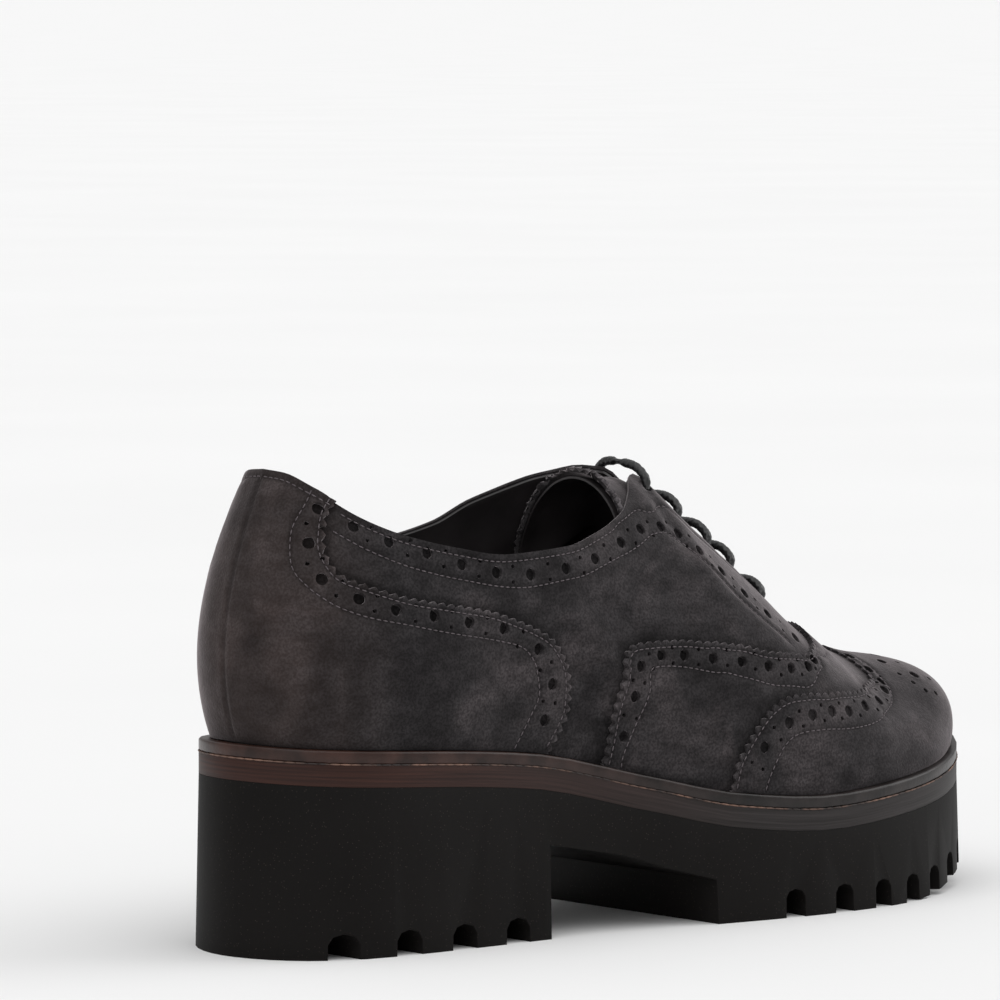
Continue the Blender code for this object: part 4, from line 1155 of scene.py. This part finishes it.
low_front = (PANEL_FRONT, 0.0)
high_front = (PANEL_FRONT, 1.0)
quarter_loop = straight_sides(
    (0.0, 0.0), low_front, high_front, (SLOT_STATION, 1.0), (0.0, 1.0), (0.0, 0.0)
)
lining_loop = straight_sides(
    (0.0, 0.0),
    low_front,
    high_front,
    (SLOT_STATION, 1.0),
    (SLOT_STATION - 0.006, LINING_TOP),
    (0.0, LINING_TOP),
    (0.0, 0.0),
)
counter_loop = np.vstack([
    pinked(counter_edge, -1)[::-1],
    straight_sides(counter_edge[0], (0.0, 1.0), (0.0, 0.0), counter_edge[-1])[1:],
])
vamp_loop = from_edge_to(PANEL_FRONT, vamp_edge)
cap_loop = from_edge_to(1.0, cap_edge)

quarters = leather_panel(
    "quarters",
    quarter_loop,
    collar_holes + eyelet_holes,
    collar_rows,
    0.0,
    SUEDE_THICK,
    suede,
    painted_shade_floors=counter_holes + vamp_holes,
    painted_shadow_edges=(counter_edge, vamp_edge),
)
finish_piece(quarters, None, "suede", "upper")
lining = leather_panel(
    "lining",
    lining_loop,
    eyelet_holes,
    [],
    -SUEDE_THICK - PANEL_SINK,
    LINING_THICK,
    lining_leather,
    painted_shade_floors=collar_holes,
)
finish_piece(lining, None, "lining_leather", "upper")
heel_counter = leather_panel(
    "heel_counter_suede",
    counter_loop,
    counter_holes,
    counter_rows + [back_seam],
    COUNTER_FACE,
    OVERLAY_THICK,
    suede,
    counter_edge,
)
finish_piece(heel_counter, None, "suede", "heel_counter")
vamp = leather_panel(
    "vamp_suede",
    vamp_loop,
    vamp_holes,
    vamp_rows,
    VAMP_FACE,
    OVERLAY_THICK,
    suede,
    vamp_edge,
    painted_shade_floors=cap_holes + toe_holes,
    painted_shadow_edges=(cap_edge,),
)
finish_piece(vamp, None, "suede", "vamp")
toe_cap = leather_panel(
    "toe_cap_suede", cap_loop, cap_holes + toe_holes, cap_rows, CAP_FACE, CAP_THICK, suede, cap_edge
)
finish_piece(toe_cap, None, "suede", "toe_cap")


# Stitching
def both_sides(row, face):
    """Even stitch places of a row on both sides of the shoe, with their outward directions."""
    marks = even_line(row, STITCH_PITCH, STITCH_PITCH / 2)
    runs = []
    for side in (OUTER, INNER):
        points = on_upper(marks, side, face - CHANNEL_DEPTH * 0.55)
        runs.append((points, upper_normal(marks[:, 0], marks[:, 1], side)))
    return runs


def sew(name, runs, long, wide, material, slot_name):
    """One mesh of small round-ended stitches, each lying along its run."""
    bpy.ops.object.select_all(action="DESELECT")
    bpy.ops.mesh.primitive_uv_sphere_add(segments=6, ring_count=5, radius=0.5)
    bead = bpy.context.object
    shape = np.array([v.co for v in bead.data.vertices])
    # The primitive lists its faces in an order that varies from run to run, so they are sorted
    bead_faces = sorted(list(p.vertices) for p in bead.data.polygons)
    bpy.data.objects.remove(bead, do_unlink=True)
    verts = []
    faces = []
    for points, normals in runs:
        ahead = np.gradient(points, axis=0)
        ahead -= normals * (ahead * normals).sum(1)[:, None]
        ahead /= np.linalg.norm(ahead, axis=1)[:, None]
        across = np.cross(normals, ahead)
        for point, forward, side, up in zip(points, ahead, across, normals):
            start = len(verts)
            placed = point + shape[:, 2:3] * forward * long + shape[:, 0:1] * side * wide
            verts.extend(placed + shape[:, 1:2] * up * wide)
            faces.extend([[start + i for i in face] for face in bead_faces])
    piece = new_piece(name, verts, faces)
    mend(piece)
    return finish_piece(piece, material, slot_name, smooth=80)


for name, rows, face in (
    ("counter_stitches", counter_rows, COUNTER_FACE),
    ("vamp_stitches", vamp_rows, VAMP_FACE),
    ("toe_cap_stitches", cap_rows, CAP_FACE),
    ("collar_stitches", collar_rows, 0.0),
):
    runs = [run for row in rows for run in both_sides(row, face)]
    sew(name, runs, STITCH_LONG, STITCH_WIDE, sewing_thread, "lace_cotton")


def around_sole(inset, pitch, drop):
    """Even places round the sole's plan, moved in and below the welt's top."""
    loop = move_in(SOLE_PLAN, inset)
    loop = np.vstack([loop, loop[:1]])
    lengths = running_length(loop)
    count = round(lengths[-1] / pitch)
    stops = np.linspace(0, lengths[-1], count, endpoint=False)
    places = at_lengths(stops, lengths, loop)
    return np.column_stack([places, welt_top(places[:, 0]) - drop]) + SHIFT


junction = around_sole(0.00002, 0.0030, WELT_THICK + GAP / 2)
ahead = np.roll(junction, -1, 0) - np.roll(junction, 1, 0)
outward = np.cross(ahead, (0.0, 0.0, 1.0))
outward /= np.linalg.norm(outward, axis=1)[:, None]
sew("welt_side_stitches", [(junction, outward)], 0.0034, 0.0005, tan_thread, "lace_cotton")
top_row = around_sole(REACH - 0.0016, 0.0024, -0.0001)
top_row = top_row[top_row[:, 0] > TOE_STITCH_FROM]
along_y = np.argsort(top_row[:, 1])
upward = np.tile((0.0, 0.0, 1.0), (len(top_row), 1))
sew("welt_top_stitches", [(top_row[along_y], upward)], 0.0010, 0.0007, lace_cotton, "lace_cotton")


# Tongue: suede face with a pinked end over a leather lining
def tongue_sheet(depth, end_push, pink, flare):
    arches = []
    for station in np.linspace(TONGUE_FOOT, TONGUE_HEAD, 9):
        half = []
        for side in (OUTER, INNER):
            rises = np.linspace(TONGUE_RISE, 1, TONGUE_SIDE_POINTS)
            stations = np.full(TONGUE_SIDE_POINTS, station)
            half.append(upper_point(stations, rises, side) - upper_normal(stations, rises, side) * depth)
        left = half[0]
        right = half[1][::-1]
        shares = np.linspace(0, 1, TONGUE_BRIDGE_POINTS + 2)[1:-1, None]
        bridge = left[-1] + shares * (right[0] - left[-1])
        bridge[:, 2] += 0.0006 * np.sin(math.pi * shares[:, 0])
        arches.append(np.vstack([left, bridge, right]))
    head = arches[-1]
    lengths = running_length(head)
    rim = rounded(TONGUE_RIM, 10)
    rim_lengths = running_length(rim)
    y, z = at_lengths(lengths / lengths[-1] * rim_lengths[-1], rim_lengths, rim).T
    out = np.column_stack([0 * y, y - y.mean(), z - z.min() + 0.004])
    out /= np.linalg.norm(out, axis=1)[:, None]
    last = np.column_stack([np.full(len(y), TONGUE_END), y, z])
    for share, curl in ((0.30, 0.0), (0.58, 0.08), (0.80, 0.35), (1.0, 1.0)):
        blend = share * share * (3 - 2 * share)
        arch = head + (last - head) * np.array([share, blend, blend])
        arches.append(arch + out * (curl * flare - (depth - TONGUE_DEPTH - TONGUE_SUEDE) * share))
    arches = np.array(arches)
    lines = np.array([rounded(arches[:, k], 5) for k in range(arches.shape[1])]).transpose(1, 0, 2)
    end = lines[-1]
    lengths = running_length(end)
    teeth = round(lengths[-1] / PINK_PITCH)
    tooth = np.abs(np.sin(math.pi * teeth * lengths / lengths[-1])) ** 0.8
    ahead = lines[-1] - lines[-2]
    ahead /= np.linalg.norm(ahead, axis=1)[:, None]
    last = end + ahead * (end_push + pink * tooth)[:, None]
    lines = np.concatenate([lines, last[None]])
    n, m = lines.shape[:2]
    faces = []
    for i in range(n - 1):
        for j in range(m - 1):
            faces.append((i * m + j, i * m + j + 1, (i + 1) * m + j + 1, (i + 1) * m + j))
    return lines.reshape(-1, 3), faces


lining_depth = TONGUE_DEPTH + TONGUE_SUEDE
across = 2 * TONGUE_SIDE_POINTS + TONGUE_BRIDGE_POINTS
for name, depth, end_push, pink, flare, thick, material, slot_name in (
    ("tongue_suede", TONGUE_DEPTH, -0.0018, 0.0018, 0.0015, TONGUE_SUEDE, suede, "suede"),
    ("tongue_lining", lining_depth, 0.0003, 0.0, 0.0, TONGUE_LINING, lining_leather, "lining_leather"),
):
    verts, faces = tongue_sheet(depth, end_push, pink, flare)
    piece = new_piece(name, verts, faces)
    # Paler pinked end of the tongue: the frayed raw edge's own tone plus a painted highlight on its teeth
    frayed_edge_and_painted_highlight = np.zeros(len(verts))
    frayed_edge_and_painted_highlight[-across:] = 4.0
    frayed_edge_and_painted_highlight[-2 * across:-across] = 1.2
    add_point_values(piece, "pale", frayed_edge_and_painted_highlight)
    mend(piece, MERGE)
    if sum(face.normal.z for face in piece.data.polygons) < 0:
        piece.data.flip_normals()
    give_thickness(piece, thick, 0.0002)
    finish_piece(piece, material, slot_name, "tongue")


# Lace: one braided cord, straight bars outside and slanting runs hidden under the facings
def lace_bar(number, start_side):
    """Path of a bar from just inside one facing, over the slot, to just inside the other."""
    eyelet = EYELETS[number]
    rises = np.linspace(eyelet.rise, 1, 7)
    halves = {}
    for side in (OUTER, INNER):
        spots = (np.full(len(rises), eyelet.station), rises, side)
        lift = np.full((len(rises), 1), LACE_THICK / 2 + LACE_CLEAR)
        lift[0] = 0.0004
        halves[side] = upper_point(*spots) + upper_normal(*spots) * lift
    path = np.vstack([halves[start_side], halves[-start_side][::-1]])
    lengths = running_length(path)
    stops = np.linspace(0, lengths[-1], 25)
    path = at_lengths(stops, lengths, path)
    path[:, 2] += LACE_ARCH * np.sin(math.pi * stops / lengths[-1])
    return path


def under(number, side, depth=LACE_IN_EYELET, rise_shift=0.0):
    """Place of the lace below an eyelet."""
    eyelet = EYELETS[number]
    spot = (np.array([eyelet.station]), np.array([eyelet.rise + rise_shift]), side)
    return upper_point(*spot) - upper_normal(*spot) * depth


def lace_run(start, end, side):
    """Hidden run inside a facing from one eyelet to another."""
    a = EYELETS[start]
    b = EYELETS[end]
    shares = np.linspace(0.15, 0.85, 5)
    stations = a.station + shares * (b.station - a.station)
    rises = a.rise + shares * (b.rise - a.rise) - 0.03 * np.sin(math.pi * shares)
    return upper_point(stations, rises, side) - upper_normal(stations, rises, side) * LACE_UNDER


stretches = [under(LACE_ORDER[0], OUTER, LACE_UNDER, -0.05)]
side = OUTER
for here, following in zip(LACE_ORDER, LACE_ORDER[1:] + (None,)):
    stretches += [under(here, side), lace_bar(here, side), under(here, -side)]
    side = -side
    if following is not None:
        stretches.append(lace_run(here, following, side))
stretches.append(under(LACE_ORDER[-1], side, LACE_UNDER, -0.05))
path = np.vstack(stretches)


def braided_cord(name, path):
    """Round cord along a path with a raised braid, pressed flat where it runs inside a facing."""
    line = rounded(path, 8)
    lengths = running_length(line)
    stops = np.arange(0, lengths[-1], LACE_STEP)
    line = at_lengths(stops, lengths, line)
    for _ in range(60):
        line[1:-1] = (line[:-2] + 2 * line[1:-1] + line[2:]) / 4
    ahead = np.gradient(line, axis=0)
    ahead /= np.linalg.norm(ahead, axis=1)[:, None]
    height, normals = above_upper(line)
    sides = LACE_SIDES
    turns = np.linspace(0, 2 * math.pi, sides, endpoint=False)
    one = np.cross(ahead[0], (0.0, 0.0, 1.0))
    verts = []
    for k, (point, forward) in enumerate(zip(line, ahead)):
        one = one - forward * (one @ forward)
        one /= np.linalg.norm(one)
        two = np.cross(forward, one)
        spiral = stops[k] / BRAID_PITCH * 2 * math.pi
        braid = np.maximum(np.cos(4 * turns + spiral), np.cos(4 * turns - spiral))
        radius = LACE_THICK / 2 * (0.91 + 0.09 * braid)
        offsets = radius[:, None] * (np.cos(turns)[:, None] * one + np.sin(turns)[:, None] * two)
        flat = np.clip((height[k] + 0.0005) / 0.0012, 0.46, 1.0)
        offsets -= (1 - flat) * (offsets @ normals[k])[:, None] * normals[k]
        verts.extend(point + offsets)
    faces = []
    for i in range(len(line) - 1):
        for k in range(sides):
            n = (k + 1) % sides
            faces.append((i * sides + k, i * sides + n, (i + 1) * sides + n, (i + 1) * sides + k))
    last = (len(line) - 1) * sides
    faces.append(tuple(reversed(range(sides))))
    faces.append(tuple(last + k for k in range(sides)))
    piece = new_piece(name, verts, faces)
    mend(piece)
    return piece


def above_upper(points):
    """Height of points over the facings' outside, and the outward direction there."""
    stations, rises = np.meshgrid(np.linspace(0.54, 0.69, 120), np.linspace(0.70, 1.0, 90))
    stations = stations.ravel()
    rises = rises.ravel()
    flat = np.vstack([upper_point(stations, rises, side) for side in (OUTER, INNER)])
    out = np.vstack([upper_normal(stations, rises, side) for side in (OUTER, INNER)])
    tree = tree_of(flat)
    found = [tree.find(point)[1] for point in points]
    return ((points - flat[found]) * out[found]).sum(1), out[found]


lace = braided_cord("lace", path)
finish_piece(lace, lace_cotton, "lace_cotton", *["lace_bar_%d" % n for n in range(1, 6)])


# Bottom: the solids' own shapes with softened edges
def softened(name, node, rounding, material, slot_name):
    """A solid's own shape with round edges, each layer by the welt half a gap thicker both ways."""
    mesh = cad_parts[node].data.copy()
    mesh.name = name
    piece = bpy.data.objects.new(name, mesh)
    bpy.context.scene.collection.objects.link(piece)
    choose(piece)
    bpy.ops.object.mode_set(mode="EDIT")
    bpy.ops.mesh.select_all(action="SELECT")
    bpy.ops.mesh.remove_doubles(threshold=0.00002)
    bpy.ops.mesh.dissolve_limited(angle_limit=math.radians(0.6))
    bpy.ops.mesh.normals_make_consistent(inside=False)
    bpy.ops.object.mode_set(mode="OBJECT")
    for vertex in piece.data.vertices:
        below_welt = welt_top(vertex.co.x - SHIFT[0]) - vertex.co.z
        if below_welt < LAYERS_DEEP:
            vertex.co.z += math.copysign(GAP / 2, vertex.normal.z)
    round_edges(piece, "soft_edges", rounding, 3, 40)
    apply_modifiers(piece)
    coords = np.array([v.co for v in piece.data.vertices])
    add_point_values(piece, "depth", coords[:, 2] - welt_top(coords[:, 0] - SHIFT[0]))
    return finish_piece(piece, material, slot_name, node, smooth=35)


softened("welt_leather", "welt", 0.0007, welt_leather, "welt_leather")
softened("midsole_leather", "midsole", 0.0002, midsole_leather, "midsole_leather")
softened("outsole_rubber", "outsole", 0.0004, rubber, "rubber")
softened("insole_leather", "insole", 0.0004, lining_leather, "lining_leather")

# Studio: a wide paper floor, light from all round that is stronger above, and three soft suns
bpy.ops.object.select_all(action="DESELECT")
bpy.ops.mesh.primitive_plane_add(size=900.0)
floor = bpy.context.object
floor.name = "paper_floor"
floor.data.materials.append(paper)

world = bpy.data.worlds.new("even_studio")
bpy.context.scene.world = world
world.use_nodes = True
tree = world.node_tree
sky = add(tree, "TexCoord")
up = add(tree, "SeparateXYZ", {"Vector": sky.outputs["Generated"]})
strength = add(
    tree,
    "MapRange",
    {"Value": up.outputs["Z"], "From Min": 0.0, "From Max": 1.0, "To Min": 0.36, "To Max": 0.76},
)
fill(tree.nodes["Background"], {"Color": shade("#FFFFFF"), "Strength": strength.outputs[0]})

for name, power, wide, tilt in (
    ("soft_sun", 0.86, 70, (14, -10, 0)),
    ("toe_sun", 1.00, 50, (20, 58, 0)),
    ("heel_sun", 0.40, 60, (22, -60, 0)),
):
    sun = bpy.data.lights.new(name, "SUN")
    sun.energy = power
    sun.angle = math.radians(wide)
    lamp = bpy.data.objects.new(name, sun)
    bpy.context.scene.collection.objects.link(lamp)
    lamp.rotation_euler = [math.radians(v) for v in tilt]

# Camera
lens = bpy.data.cameras.new("camera")
lens.lens = CAMERA_LENS
lens.sensor_width = 36.0
lens.clip_end = 2000.0
camera = bpy.data.objects.new("camera", lens)
camera.location = CAMERA_PLACE
camera.rotation_euler = (math.radians(90) - CAMERA_DOWN, 0.0, -CAMERA_TURN)
bpy.context.scene.collection.objects.link(camera)
bpy.context.scene.camera = camera
bpy.context.scene.view_settings.view_transform = "Standard"

bpy.context.view_layer.update()
